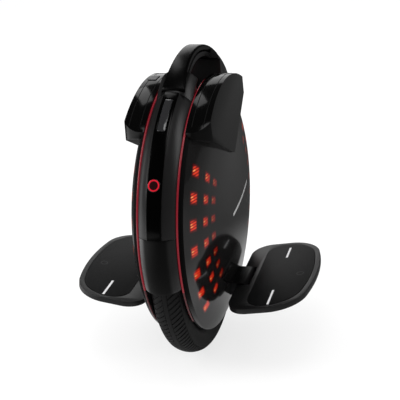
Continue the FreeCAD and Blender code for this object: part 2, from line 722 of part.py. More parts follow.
def build_side_shells():
    """Domed covers, with the light windows set flush into them."""
    shell = shell_body("side_shell_blank")
    sketch = new_sketch(shell, "XZ_Plane")
    wall_outline(sketch)
    revolve(shell, sketch)
    room = "(knuckle_radius + seat_gap * 4)"
    gate = new_sketch(shell, "YZ_Plane")
    box_outline(gate, "-knuckle_half_length - seat_gap * 4", f"pin_z - shell_height - {room}",
                "knuckle_half_length + seat_gap * 4", f"pin_z - shell_height + {room}")
    pocket(shell, gate, "dome_depth * 2", both=True)
    blocks = window_blocks()
    windowed = cut("side_shell_right", shell, [blocks])
    windows = common("led_windows_right", shell, blocks)
    keep(windowed, mirrored("side_shell_left", windowed, across))
    keep(windows, mirrored("led_windows_left", windows, across))

    # light boards follow the inside of the shell, behind the windows
    flat = ("dome_flat_x - shell_wall - board_gap", "dome_flat_radius")
    low = ("dome_depth - shell_wall - board_gap - (dome_depth - dome_flat_x) * 0.64",
           "dome_flat_radius * 0.8")
    high = ("dome_flat_x * 0.32 + dome_edge_x * 0.68 - shell_wall - board_gap",
            "dome_flat_radius * 0.32 + dome_edge_radius * 0.68 - shell_wall / 2")
    boards = []
    for side, turn in (("front", "90"), ("rear", "-90")):
        board = shell_body(f"led_board_right_{side}")
        sketch = new_sketch(board, "XZ_Plane", turn=turn)
        outline(sketch, [low, flat, high] + [
            (f"{x} - board_thickness", y) for x, y in (high, flat, low)])
        revolve(board, sketch, "board_angle")
        boards.append(board)
    right = group("led_boards_right", boards)
    keep(right, mirrored("led_boards_left", right, across))

    # light lines between the side shells and the fenders
    line = shell_body("light_line_right")
    sketch = new_sketch(line, "XZ_Plane")
    circle(sketch, "line_x", "line_circle", "line_radius")
    revolve(line, sketch, "line_half_angle * 2")
    keep(line, mirrored("light_line_left", line, across))

    # liners close the side shells towards the wheel
    liner = shell_body("inner_liner_right")
    sketch = new_sketch(liner, "YZ_Plane", offset="liner_x")
    circle(sketch, "0", "0", "liner_radius")
    circle(sketch, "0", "-shell_rise", "liner_hole")
    pad(liner, sketch, "liner_thickness")
    keep(liner, mirrored("inner_liner_left", liner, across))


# Fenders, mudguards and strips along the middle
def arc_body(label, start, end):
    """A body turned so that its XZ plane stands at the middle of an angle above the front."""
    return new_body(label, z="shell_height", axis=across, turn=f"90 - ({start} + {end}) / 2")


def fender_section(sketch):
    """Channel section of a fender, with a crown and two skirts."""
    inner = "(fender_half_width - fender_wall)"
    outline(sketch, [
        ("-fender_half_width", "fender_skirt"),
        (f"-{inner}", "fender_skirt"),
        (f"-{inner}", "fender_edge - fender_wall / 2", ("0", "fender_crown - fender_wall")),
        (inner, "fender_edge - fender_wall / 2"),
        (inner, "fender_skirt"),
        ("fender_half_width", "fender_skirt"),
        ("fender_half_width", "fender_edge", ("0", "fender_crown")),
        ("-fender_half_width", "fender_edge")])


def strip_section(sketch):
    """Section of the gloss strip on a fender's crown."""
    edge = f"({crown_at('strip_half_width')} + snug_gap)"
    top = "(fender_crown + strip_height)"
    outline(sketch, [
        ("-strip_half_width", edge, ("0", "fender_crown + snug_gap")),
        ("strip_half_width", edge),
        ("strip_half_width", f"{top} - strip_height"),
        ("strip_half_width - strip_height", top),
        ("-strip_half_width + strip_height", top),
        ("-strip_half_width", f"{top} - strip_height")])


def crown_at(x):
    """Fender radius at a distance from the middle, on its crown's arc."""
    rise = "(fender_crown - fender_edge)"
    bend = f"((fender_half_width^2 + {rise}^2) / (2 * {rise}))"
    return f"(fender_crown - {bend} + sqrt({bend}^2 - ({x})^2))"


def leg_tube(label, outer, inner, bottom, length):
    """A tube of a telescopic leg, at the front and at the rear. Without inner it is a rod."""
    pair = []
    for side, place_y in (("front", "handle_back - leg_place"), ("rear", "handle_back + leg_place")):
        tube = new_body(f"{label}_{side}", y=place_y, z=bottom)
        sketch = new_sketch(tube, "XY_Plane")
        circle(sketch, "0", "0", outer)
        if inner:
            circle(sketch, "0", "0", inner)
        pad(tube, sketch, length)
        pair.append(tube)
    return group(label, pair)


def build_fenders():
    """Front and rear fenders, with their lower mudguards, strips and reflectors."""
    room = wheel_body("tyre_room")
    half, crown, shoulder, tread, bead, top, middle = tyre_section("wheel_clearance")
    sketch = new_sketch(room, "XZ_Plane")
    outline(sketch, [
        (f"-{bead}", "rim_inner"),
        (bead, "rim_inner"),
        (bead, top, (half, middle)),
        (tread, shoulder, ("0", crown)),
        (f"-{tread}", shoulder, (f"-{half}", middle)),
        (f"-{bead}", top)])
    revolve(room, sketch)

    gap = "snug_gap"
    lens_floor = "(fender_crown - lens_depth)"
    strip_face = "(fender_crown + strip_height)"
    pit = arc_body("headlight_pit", "lens_low", "lens_high")
    sketch = new_sketch(pit, "XZ_Plane")
    box_outline(sketch, "-lens_half_width - seat_gap", f"{lens_floor} - {gap}",
                "lens_half_width + seat_gap", f"{strip_face} + strip_height")
    revolve(pit, sketch, "lens_high - lens_low + seat_gap")
    lens = arc_body("headlight_lens", "lens_low", "lens_high")
    sketch = new_sketch(lens, "XZ_Plane")
    box_outline(sketch, "-lens_half_width", lens_floor, "lens_half_width", strip_face)
    revolve(lens, sketch, "lens_high - lens_low")
    keep(lens)

    def fender_arc(label, start, end, section):
        """A length of fender or strip between two angles above the front."""
        part = arc_body(label, start, end)
        sketch = new_sketch(part, "XZ_Plane")
        section(sketch)
        revolve(part, sketch, f"{end} - ({start}) - {gap}")
        return part

    blank = fender_arc("front_fender_blank", "fender_split", "fender_top", fender_section)
    keep(cut("front_fender", blank, [pit]))
    keep(fender_arc("rear_fender", "180 - rear_top", "180 - fender_split", fender_section))

    blank = fender_arc("mudguard_blank", "mudguard_end", "fender_split", fender_section)
    guard = cut("front_mudguard", blank, [room])
    keep(guard, mirrored("rear_mudguard", guard, along))

    blank = fender_arc("front_strip_blank", "fender_split", "fender_top", strip_section)
    keep(cut("front_strip", blank, [pit]))
    keep(fender_arc("rear_strip", "180 - rear_strip_top", "180 - fender_split", strip_section))

    for side, angle in (("front", "reflector_angle"), ("rear", "180 - rear_reflector_angle")):
        disc = arc_body(f"{side}_reflector", angle, angle)
        sketch = new_sketch(disc, "XY_Plane", offset=f"{strip_face} + {gap}")
        circle(sketch, "0", "0", "reflector_radius")
        pad(disc, sketch, "reflector_height")
        keep(disc)

    tray = arc_body("grip_well_floor_blank", "fender_top", "180 - rear_top")
    sketch = new_sketch(tray, "XZ_Plane")
    box_outline(sketch, "-fender_half_width", "tray_radius - tray_thickness",
                "fender_half_width", "tray_radius")
    revolve(tray, sketch, "180 - rear_top - fender_top")
    holes = leg_tube("leg_holes", "sleeve_radius + snug_gap", None, "shell_height", "overall_height")
    keep(cut("grip_well_floor", tray, [holes]))


# Shoulders beside the handle
def corner_bend(size):
    """Distance of a rounded corner's middle from the edges it joins."""
    return f"({size} * (1 - sqrt(0.5)))"


def build_shoulders():
    """Shoulder covers on both side shells, with the power button and the charging port."""
    block = shell_body("shoulder_block")
    sketch = new_sketch(block, "YZ_Plane", offset="rim_x")
    outline(sketch, [
        ("-shoulder_front", "front_rise - shoulder_end"),
        ("0", "shoulder_point"),
        ("shoulder_rear", "rear_rise - shoulder_end"),
        ("shoulder_rear", "rear_rise", ("0", "shoulder_radius")),
        ("-shoulder_front", "front_rise")])
    pad(block, sketch, "shoulder_reach - rim_x")
    plan = shell_body("shoulder_plan")
    sketch = new_sketch(plan, "XY_Plane")
    nose = corner_bend("shoulder_nose")
    corner = corner_bend("shoulder_corner")
    outline(sketch, [
        ("rim_x", "-shoulder_front"),
        ("shoulder_reach - shoulder_nose", "-shoulder_front",
         (f"shoulder_reach - {nose}", f"{nose} - shoulder_front")),
        ("shoulder_reach", "shoulder_nose - shoulder_front"),
        ("shoulder_reach", "shoulder_rear - shoulder_corner",
         (f"shoulder_reach - {corner}", f"shoulder_rear - {corner}")),
        ("shoulder_reach - shoulder_corner", "shoulder_rear"),
        ("rim_x", "shoulder_rear")])
    pad(plan, sketch, "shoulder_radius * 2")
    lean = shell_body("shoulder_lean_form")
    sketch = new_sketch(lean, "XZ_Plane")
    outline(sketch, [
        ("rim_x", "0"),
        ("shoulder_reach", "0"),
        ("shoulder_reach", "shoulder_point"),
        ("shoulder_reach - shoulder_lean", "shoulder_radius"),
        ("rim_x", "shoulder_radius")])
    pad(lean, sketch, "shoulder_front * 3", both=True)
    block = common("shoulder_form", common("shoulder_plan_form", block, plan), lean)

    form = shell_body("dome_form")
    sketch = new_sketch(form, "XZ_Plane")
    dome_outline(sketch)
    revolve(form, sketch)

    # power button in the left shoulder, pressed straight down
    top = "(shell_height + shoulder_radius)"
    well = new_body("button_well", x="-port_x", z=f"{top} + button_proud - button_height")
    sketch = new_sketch(well, "XY_Plane", offset="-button_travel - seat_gap")
    box_outline(sketch, "-button_width / 2 - seat_gap", "-button_length / 2 - seat_gap",
                "button_width / 2 + seat_gap", "button_length / 2 + seat_gap")
    pad(well, sketch, "button_height * 2")
    button = new_body("power_button", x="-port_x", z=f"{top} + button_proud - button_height")
    sketch = new_sketch(button, "XY_Plane")
    box_outline(sketch, "-button_width / 2", "-button_length / 2",
                "button_width / 2", "button_length / 2")
    pad(button, sketch, "button_height")
    rounded(button, lambda edge: edge.BoundBox.ZMin > value("button_height") - 1e-4, "button_proud")
    left = mirrored("shoulder_blank_left", block, across)
    form_left = mirrored("dome_form_left", form, across)
    keep(cut("shoulder_left", left, [form_left, well]), button)

    # charging port in the right shoulder: a socket under a hinged flap
    port = {"z": "shell_height", "axis": across, "turn": "-port_angle"}
    opening = new_body("port_opening", **port)
    sketch = new_sketch(opening, "XY_Plane", offset="shoulder_radius - flap_thickness - seat_gap")
    box_outline(sketch, "port_x - flap_width / 2 - seat_gap", "-flap_length / 2 - seat_gap",
                "port_x + flap_width / 2 + seat_gap", "flap_length / 2 + seat_gap")
    pad(opening, sketch, "flap_thickness * 2")
    sketch = new_sketch(opening, "XY_Plane",
                        offset="shoulder_radius - flap_thickness - seat_gap - socket_length")
    circle(sketch, "port_x", "0", "socket_radius + snug_gap")
    pad(opening, sketch, "socket_length + flap_thickness")
    keep(cut("shoulder_right", block, [form, opening]))

    socket = new_body("charge_socket", **port)
    sketch = new_sketch(socket, "XY_Plane",
                        offset="shoulder_radius - flap_thickness - seat_gap - socket_length")
    circle(sketch, "port_x", "0", "socket_radius")
    pad(socket, sketch, "socket_length")
    sketch = new_sketch(socket, "XY_Plane",
                        offset="shoulder_radius - flap_thickness - seat_gap")
    circle(sketch, "port_x", "0", "socket_bore")
    pocket(socket, sketch, "socket_depth")
    keep(socket)

    hinge = "(flap_length / 2 - flap_thickness / 2)"
    flap = new_body("charge_flap", **port)
    sketch = new_sketch(flap, "YZ_Plane", offset="port_x - flap_width / 2")
    outline(sketch, [
        ("-flap_length / 2", "shoulder_radius - flap_thickness"),
        (hinge, "shoulder_radius - flap_thickness",
         ("flap_length / 2", "shoulder_radius - flap_thickness / 2")),
        (hinge, "shoulder_radius"),
        ("-flap_length / 2", "shoulder_radius")])
    pad(flap, sketch, "flap_width")
    keep(flap)


# Handle
def handle_body(label):
    """A body at the centre of the handle's arch."""
    return new_body(label, y="handle_back", z="handle_height")


def handle_arc(body, section, angle, turn=None):
    """An arched bar of the given section in the handle."""
    sketch = new_sketch(body, "XZ_Plane", turn=turn)
    section(sketch)
    return revolve(body, sketch, angle)


def box_section(half, low, high):
    """A rectangular section, even about the middle."""
    return lambda sketch: box_outline(sketch, f"-{half}", low, half, high)


def foot_section(sketch):
    """Section of a handle foot, crowned like the fenders."""
    half = "(fender_half_width - seat_gap)"
    outline(sketch, [
        (f"-{half}", "handle_inner - seat_gap"),
        (half, "handle_inner - seat_gap"),
        (half, "handle_radius - foot_drop", ("0", "handle_radius")),
        (f"-{half}", "handle_radius - foot_drop")])


def round_room(label, radius, y, z):
    """A cylinder along X that is wider than the fenders."""
    item = named("Part::Cylinder", label)
    item.setExpression("Radius", bound(radius))
    item.setExpression("Height", bound("fender_half_width * 4"))
    place(item, x="-fender_half_width * 2", y=y, z=z, axis=along, turn="90")
    return item


def front_side(label, angle):
    """All that lies in front of a plane which rises at an angle from the shell's centre."""
    item = named("Part::Box", label)
    for letter, text in (("Length", "fender_half_width * 4"), ("Width", "overall_height"),
                         ("Height", "overall_height")):
        item.setExpression(letter, bound(text))
    place(item, x="-fender_half_width * 2", z="shell_height", axis=across, turn=f"180 - {angle}")
    return item


def waisted(label, low, high, angle, room):
    """A bar along the handle between two radii, drawn in to a waist at its top."""
    bar = handle_body(f"{label}_bar")
    handle_arc(bar, box_section("(handle_half_width * 2)", low, high), angle)
    plan = handle_body(f"{label}_plan")
    sketch = new_sketch(plan, "XY_Plane")
    end = "(handle_radius * sin(cap_half_angle * 1 deg) + cap_thickness)"
    wide = f"(handle_half_width + {room})"
    waist = f"(handle_waist + {room})"
    outline(sketch, [
        (f"-{wide}", f"-{end}"),
        (wide, f"-{end}", (waist, "0")),
        (wide, end),
        (f"-{wide}", end, (f"-{waist}", "0"))])
    pad(plan, sketch, "handle_radius * 2")
    return common(label, bar, plan)


def build_handle():
    """Fixed grip arch with its feet and lamps, and the cap that pulls up on two legs."""
    cap_angle = "cap_half_angle * 2"
    bar = waisted("grip_bar", "handle_inner", "cap_under - seat_gap", cap_angle, "0")
    room = waisted("cap_room", "cap_under - seat_gap", "handle_radius * 1.2",
                   f"{cap_angle} + cap_end_gap * 2", "seat_gap")
    feet = handle_body("handle_feet_blank")
    for sign in ("", "-"):
        handle_arc(feet, foot_section, "foot_end_angle - foot_start_angle",
                   turn=f"{sign}(foot_end_angle + foot_start_angle) / 2")
    feet = cut("handle_feet", feet, [room])

    pillars = handle_body("handle_pillars_blank")
    floor_rise = "(shell_height - handle_height)"
    half = "(fender_half_width - seat_gap)"
    for low, high in (("-pillar_far", "-pillar_near"), ("pillar_near", "handle_radius")):
        sketch = new_sketch(pillars, "XY_Plane", offset=floor_rise)
        box_outline(sketch, f"-{half}", low, half, high)
        pad(pillars, sketch, f"handle_radius - {floor_rise}")
    under = round_room("pillar_top", "handle_inner + seat_gap", "handle_back", "handle_height")
    pillars = common("handle_pillars", pillars, under)
    arch = named("Part::MultiFuse", "handle_arch_blank")
    arch.Shapes = [feet, bar, pillars]

    well = handle_body("lift_button_well")
    sketch = new_sketch(well, "XY_Plane")
    box_outline(sketch, "-lift_button_width / 2 - seat_gap", "-lift_button_length / 2 - seat_gap",
                "lift_button_width / 2 + seat_gap", "lift_button_length / 2 + seat_gap")
    pad(well, sketch, "handle_inner - lift_button_proud + lift_button_height + button_travel")
    bores = leg_tube("leg_bores", "sleeve_radius + snug_gap", None, "shell_height", "overall_height")
    floor = round_room("grip_well_room", "tray_radius + snug_gap", "0", "shell_height")
    front = front_side("front_fender_side", "fender_top")
    rear = mirrored("rear_strip_side", front_side("rear_strip_side_blank", "rear_strip_top"), along)
    crown = arc_body("rear_crown", "180 - rear_top", "180")
    sketch = new_sketch(crown, "XZ_Plane")
    outline(sketch, [
        ("-fender_half_width", "tray_radius"),
        ("fender_half_width", "tray_radius"),
        ("fender_half_width", "fender_edge + snug_gap", ("0", "fender_crown + snug_gap")),
        ("-fender_half_width", "fender_edge + snug_gap")])
    revolve(crown, sketch, "rear_top")

    lens_low = "handle_radius - lens_depth"
    tail_turn = "-(tail_start + tail_end) / 2"
    pit = handle_body("taillight_pit")
    handle_arc(pit, box_section("(lens_half_width + seat_gap)", f"{lens_low} - snug_gap",
                                "handle_radius + lens_depth"),
               "tail_end - tail_start + seat_gap", turn=tail_turn)
    lens = handle_body("taillight_lens")
    handle_arc(lens, box_section("lens_half_width", lens_low, "handle_radius + seat_gap"),
               "tail_end - tail_start", turn=tail_turn)
    keep(cut("handle_arch", arch, [well, bores, floor, front, rear, crown, pit]), lens)

    button = new_body("lift_button", y="handle_back",
                      z="handle_height + handle_inner - lift_button_proud")
    sketch = new_sketch(button, "XY_Plane")
    box_outline(sketch, "-lift_button_width / 2", "-lift_button_length / 2",
                "lift_button_width / 2", "lift_button_length / 2")
    pad(button, sketch, "lift_button_height")
    keep(button)
    keep(waisted("handle_cap", "cap_under", "handle_radius", cap_angle, "0"))

    middle = "(sleeve_radius - sleeve_wall - running_fit)"
    rod = f"({middle} - sleeve_wall - running_fit)"
    keep(leg_tube("leg_sleeves", "sleeve_radius", "sleeve_radius - sleeve_wall",
                  "sleeve_bottom", "sleeve_length"))
    keep(leg_tube("leg_middle_tubes", middle, f"{middle} - sleeve_wall",
                  "sleeve_bottom", "sleeve_length - tube_shortening"))
    blank = leg_tube("leg_rods_blank", rod, None, "sleeve_bottom", "overall_height - sleeve_bottom")
    inside = round_room("cap_underside", "cap_under - snug_gap", "handle_back", "handle_height")
    keep(common("leg_rods", blank, inside))


# Pedals and their hangers
def tilted(along_pedal, above):
    """X and Z of a point given along and above the open pedal, from the hinge."""
    turn = "(pedal_tilt * 1 deg)"
    return (f"pin_x + ({along_pedal}) * cos({turn}) - ({above}) * sin({turn})",
            f"pin_z + ({along_pedal}) * sin({turn}) + ({above}) * cos({turn})")


def pedal_outline(inset, inner, corner="pedal_inner_corner"):
    """Plan of a pedal, drawn in by an inset, with its inner edge at a given place."""
    outer = f"(pedal_width - pedal_inset - {inset})"
    half = f"(pedal_half_length - {inset})"
    small = f"({corner} - {inset} / 2)"
    large = f"(pedal_outer_corner - {inset} / 2)"
    shallow = "0.293"
    edge = f"({outer} - pedal_bow)"
    points = []
    for sign in ("-", ""):
        inner_end = (inner, f"{sign}({half} - {small})")
        inner_via = (f"{inner} + {small} * {shallow}", f"{sign}({half} - {small} * {shallow})")
        side_start = (f"{inner} + {small}", f"{sign}{half}")
        side_end = (f"{edge} - {large} * 1.18", f"{sign}{half}")
        outer_via = (f"{edge} - {large} * 0.406", f"{sign}({half} - {large} * 0.284)")
        outer_end = (edge, f"{sign}({half} - {large})")
        points.append((inner_end, inner_via, side_start, side_end, outer_via, outer_end))
    front, rear = points
    return [
        (*front[0], front[1]),
        front[2],
        (*front[3], front[4]),
        (*front[5], (outer, "0")),
        (*rear[5], rear[4]),
        rear[3],
        (*rear[2], rear[1]),
        rear[0]]


def build_pedals():
    """Folding pedals with their pads, the hangers that carry them, pins, nuts and bolts."""
    where = {"x": "pin_x", "z": "pin_z", "axis": Vector(0, -1, 0), "turn": "pedal_tilt"}
    pedal = new_body("pedal_right", **where)
    sketch = new_sketch(pedal, "XY_Plane", offset="pedal_rise - pedal_thickness")
    notch = [
        ("-pedal_inset", "notch_half_length"),
        ("notch_depth", "notch_half_length"),
        ("notch_depth", "-notch_half_length"),
        ("-pedal_inset", "-notch_half_length")]
    outline(sketch, pedal_outline("0", "-pedal_inset") + notch)
    pad(pedal, sketch, "pedal_thickness")
    for low, high in (("-notch_half_length - lug_width", "-notch_half_length"),
                      ("notch_half_length", "notch_half_length + lug_width")):
        lug = new_sketch(pedal, "XY_Plane", offset="pedal_rise - lug_depth")
        box_outline(lug, "-pedal_inset", low, "lug_reach", high)
        pad(pedal, lug, "lug_depth - pedal_thickness / 2")
    bore = new_sketch(pedal, "XZ_Plane")
    circle(bore, "0", "0", "pin_radius + running_fit")
    pocket(pedal, bore, "(notch_half_length + lug_length + seat_gap) * 2", both=True)
    pad_inner = "(notch_depth + pad_inset)"
    recess = new_sketch(pedal, "XY_Plane", offset="pedal_rise")
    outline(recess, pedal_outline("(pad_inset - snug_gap)", f"({pad_inner} - snug_gap)"))
    pocket(pedal, recess, "pad_depth")
    hollow = new_sketch(pedal, "XY_Plane", offset="pedal_rise - pedal_thickness")
    outline(hollow, pedal_outline("hollow_inset", "stop_reach + seat_gap * 8", "hollow_corner"))
    pocket(pedal, hollow, "hollow_depth", back=True)
    keep(pedal, mirrored("pedal_left", pedal, across))

    grip = new_body("pedal_pad_right", **where)
    sketch = new_sketch(grip, "XY_Plane", offset="pedal_rise - pad_depth")
    outline(sketch, pedal_outline("pad_inset", pad_inner))
    pad(grip, sketch, "pad_thickness")
    keep(grip, mirrored("pedal_pad_left", grip, across))

    pin = new_body("hinge_pin_right", x="pin_x", z="pin_z")
    sketch = new_sketch(pin, "XZ_Plane")
    circle(sketch, "0", "0", "pin_radius")
    pad(pin, sketch, "(notch_half_length + lug_length) * 2", both=True)
    keep(group("hinge_pins", [pin, mirrored("hinge_pin_left", pin, across)]))

    hanger = new_body("hanger_right")
    arm = new_sketch(hanger, "YZ_Plane", offset="hanger_x")
    foot = "(pin_z - knuckle_radius)"
    outline(arm, [
        ("-knuckle_half_length", foot),
        ("knuckle_half_length", foot),
        ("knuckle_half_length", "pin_z + knuckle_radius"),
        ("hanger_top", "tyre_radius", ("0", "tyre_radius + hanger_top")),
        ("-hanger_top", "tyre_radius"),
        ("-knuckle_half_length", "pin_z + knuckle_radius")])
    pad(hanger, arm, "hanger_thickness")
    knuckle = new_sketch(hanger, "XZ_Plane")
    outline(knuckle, [
        ("hanger_x + hanger_thickness / 2", foot),
        ("pin_x", foot, ("pin_x + knuckle_radius", "pin_z")),
        ("pin_x", "pin_z + knuckle_radius"),
        ("hanger_x + hanger_thickness / 2", "pin_z + knuckle_radius")])
    pad(hanger, knuckle, "knuckle_half_length * 2", both=True)
    shelf = new_sketch(hanger, "XZ_Plane")
    under = "pedal_rise - pedal_thickness - seat_gap"
    outline(shelf, [
        tilted("0", under),
        tilted("0", f"{under} - stop_thickness"),
        tilted("stop_reach", f"{under} - stop_thickness"),
        tilted("stop_reach", under)])
    pad(hanger, shelf, "stop_half_length * 2", both=True)
    bore = new_sketch(hanger, "XZ_Plane")
    circle(bore, "pin_x", "pin_z", "pin_radius + snug_gap")
    pocket(hanger, bore, "knuckle_half_length * 4", both=True)
    bore = new_sketch(hanger, "YZ_Plane")
    circle(bore, "0", "tyre_radius", "axle_radius + snug_gap")
    for sign in ("-", ""):
        circle(bore, f"{sign}hanger_bolt_y", "tyre_radius - hanger_bolt_drop",
               "hanger_bolt_radius + snug_gap")
    pocket(hanger, bore, "pin_x * 4", both=True)
    keep(hanger, mirrored("hanger_left", hanger, across))

    nut = new_body("axle_nut_right", z="tyre_radius")
    sketch = new_sketch(nut, "YZ_Plane", offset="hanger_face")
    flats = [(f"nut_radius * cos({60 * side} * 1 deg)", f"nut_radius * sin({60 * side} * 1 deg)")
             for side in range(6)]
    outline(sketch, flats)
    circle(sketch, "0", "0", "axle_radius + snug_gap")
    pad(nut, sketch, "nut_height")
    keep(group("axle_nuts", [nut, mirrored("axle_nut_left", nut, across)]))

    bolts = []
    for side, sign in (("front", "-"), ("rear", "")):
        bolt = new_body(f"hanger_bolt_{side}", y=f"{sign}hanger_bolt_y",
                        z="tyre_radius - hanger_bolt_drop")
        sketch = new_sketch(bolt, "YZ_Plane", offset="hanger_x + snug_gap")
        circle(sketch, "0", "0", "hanger_bolt_radius")
        pad(bolt, sketch, "hanger_thickness")
        sketch = new_sketch(bolt, "YZ_Plane", offset="hanger_face")
        circle(sketch, "0", "0", "hanger_bolt_head")
        pad(bolt, sketch, "hanger_bolt_radius")
        bolts.append(bolt)
    right = group("hanger_bolts_right", bolts)
    keep(group("hanger_bolts", [right, mirrored("hanger_bolts_left", right, across)]))


# Inside the side shells
def sector(label, start_turn, angle, left, low, right, high):
    """A block between two radii, over an angle about the shell's centre."""
    body = shell_body(label)
    sketch = new_sketch(body, "XZ_Plane", turn=start_turn)
    box_outline(sketch, left, low, right, high)
    revolve(body, sketch, angle)
    return body


def build_electrics():
    """Battery packs, control board with its heat sink, and the speaker."""
    pack = sector("battery_right", None, "battery_angle", "inside_x", "battery_inner",
                  "inside_x + battery_depth", "battery_outer")
    keep(pack, mirrored("battery_left", pack, across))

    turn = "-(90 + control_place)"
    face = "(inside_x + board_thickness)"
    keep(sector("control_board", turn, "control_angle", "inside_x", "control_inner", face,
                "control_outer"))
    low = "(control_inner + sink_margin)"
    high = "(control_outer - sink_margin)"
    sink = sector("heat_sink", turn, "control_angle - sink_margin", f"{face} + snug_gap", low,
                  f"{face} + sink_base", high)
    step = "((control_angle - sink_margin - fin_angle) / (fin_count - 1))"
    fin = new_sketch(sink, "XZ_Plane",
                     turn=f"{turn} + (control_angle - sink_margin - fin_angle) / 2")
    box_outline(fin, f"{face} + sink_base / 2", low, f"{face} + sink_height", high)
    blade = revolve(sink, fin, "fin_angle")
    polar(sink, blade, "fin_count", f"{step} * (fin_count - 1)", back=True)
    keep(sink)

    across_y = "((control_inner + control_outer) / 2 * cos(control_place * 1 deg))"
    drop = "((control_inner + control_outer) / 2 * sin(control_place * 1 deg))"
    speaker = new_body("speaker", y=across_y, z=f"shell_height - {drop}")
    sketch = new_sketch(speaker, "XZ_Plane")
    outline(sketch, [
        ("-inside_x", "0"),
        ("-inside_x", "speaker_radius * 0.6"),
        ("-inside_x - speaker_depth * 0.4", "speaker_radius * 0.6"),
        ("-inside_x - speaker_depth * 0.8", "speaker_radius"),
        ("-inside_x - speaker_depth", "speaker_radius"),
        ("-inside_x - speaker_depth", "0")])
    revolve(speaker, sketch)
    keep(speaker)


build_tyre()
build_motor()
build_side_shells()
build_fenders()
build_shoulders()
build_handle()
build_pedals()
build_electrics()
doc.recompute()

# Every object has to be sound before anything is written
for item in doc.Objects:
    if "Invalid" in item.State or "Error" in item.State:
        raise RuntimeError(f"{item.Name} failed: {item.State}")
for node in nodes:
    if node.Shape.isNull() or not node.Shape.isValid() or not node.Shape.Solids:
        raise RuntimeError(f"{node.Label} has no sound solid")

os.makedirs("parts", exist_ok=True)
for node in nodes:
    node.Shape.exportStep(f"parts/{node.Label}.step")
print(f"{len(nodes)} nodes written")
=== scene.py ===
import json
import math
import bmesh
import bpy
import numpy as np
from mathutils import Matrix, Vector


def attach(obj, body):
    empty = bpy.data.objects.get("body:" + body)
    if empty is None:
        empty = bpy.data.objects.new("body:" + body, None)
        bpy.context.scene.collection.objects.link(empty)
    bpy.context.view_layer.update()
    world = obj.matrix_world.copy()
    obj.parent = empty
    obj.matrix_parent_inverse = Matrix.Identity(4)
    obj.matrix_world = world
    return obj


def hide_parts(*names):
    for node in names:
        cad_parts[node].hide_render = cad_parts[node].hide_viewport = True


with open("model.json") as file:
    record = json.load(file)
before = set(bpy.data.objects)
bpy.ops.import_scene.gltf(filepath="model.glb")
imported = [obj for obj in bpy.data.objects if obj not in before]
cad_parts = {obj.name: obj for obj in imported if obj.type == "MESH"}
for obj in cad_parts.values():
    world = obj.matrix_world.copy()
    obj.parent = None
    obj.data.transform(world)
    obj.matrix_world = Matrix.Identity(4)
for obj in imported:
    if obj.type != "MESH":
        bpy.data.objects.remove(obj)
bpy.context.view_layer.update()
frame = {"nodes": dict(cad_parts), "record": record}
scene = bpy.context.scene
print("stage: frame loaded")

# Places that several pieces share, metres and degrees. The wheel turns about X, the front faces -Y.
place = {"axleHeight": 0.203, "shellHeight": 0.252, "hingeX": 0.079, "hingeZ": 0.112, "pedalTilt": 8.8}


# Camera, as fitted to the photo
camera = {
    "azimuth": 16.89, "elevation": 22.33, "roll": 4.54, "distance": 1.6555,
    "target": (0.0, 0.0, 0.255), "focalPixels": 1003.09, "principal": (195.63, 200.81),
    "pixels": 400, "sensor": 36.0, "samples": 192}


def buildCamera(c):
    az, el, roll = (math.radians(c[k]) for k in ("azimuth", "elevation", "roll"))
    back = Vector((math.sin(az) * math.cos(el), -math.cos(az) * math.cos(el), math.sin(el)))
    right = Vector((math.cos(az), math.sin(az), 0.0))
    up = back.cross(right)
    tiltedRight = right * math.cos(roll) - up * math.sin(roll)
    tiltedUp = right * math.sin(roll) + up * math.cos(roll)
    data = bpy.data.cameras.new("camera")
    data.sensor_width = c["sensor"]
    data.lens = c["focalPixels"] * c["sensor"] / c["pixels"]
    data.shift_x = (c["pixels"] / 2 - c["principal"][0]) / c["pixels"]
    data.shift_y = (c["principal"][1] - c["pixels"] / 2) / c["pixels"]
    obj = bpy.data.objects.new("camera", data)
    turn = Matrix((tiltedRight, tiltedUp, back)).transposed()
    obj.matrix_world = Matrix.Translation(Vector(c["target"]) + back * c["distance"]) @ turn.to_4x4()
    scene.collection.objects.link(obj)
    scene.camera = obj


buildCamera(camera)
scene.render.resolution_x = camera["pixels"]
scene.render.resolution_y = camera["pixels"]
scene.render.engine = "CYCLES"
scene.cycles.samples = camera["samples"]
scene.cycles.use_denoising = True
scene.view_settings.view_transform = "Standard"


# Node maths: a socket that can be reckoned with, in materials and in geometry trees
class Wire:
    def __init__(self, tree, socket):
        self.tree = tree
        self.socket = socket

    def node(self, kind, inputs, output=0, **settings):
        made = self.tree.nodes.new(kind)
        for key, setting in settings.items():
            setattr(made, key, setting)
        for key, item in inputs.items():
            if isinstance(item, Wire):
                self.tree.links.new(item.socket, made.inputs[key])
            else:
                made.inputs[key].default_value = item
        return Wire(self.tree, made.outputs[output])

    def op(self, name, *others):
        return self.node("ShaderNodeMath", dict(enumerate((self, *others))), operation=name)

    def __add__(self, other):
        return self.op("ADD", other)

    def __sub__(self, other):
        return self.op("SUBTRACT", other)

    def __rsub__(self, other):
        return self.node("ShaderNodeMath", {0: other, 1: self}, operation="SUBTRACT")

    def __mul__(self, other):
        return self.op("MULTIPLY", other)

    def __truediv__(self, other):
        return self.op("DIVIDE", other)

    def __pow__(self, other):
        return self.op("POWER", other)

    def step(self, low, high):
        return self.node("ShaderNodeMapRange", {0: self, 1: low, 2: high, 3: 0.0, 4: 1.0},
                         interpolation_type="SMOOTHSTEP")

    def mix(self, low, high):
        low, high = (end if isinstance(end, Wire) else (*end, 1.0) for end in (low, high))
        return self.node("ShaderNodeMix", {0: self, 6: low, 7: high}, output=2, data_type="RGBA")


unlit = (0.0, 0.0, 0.0)
coatRoughness = 0.03


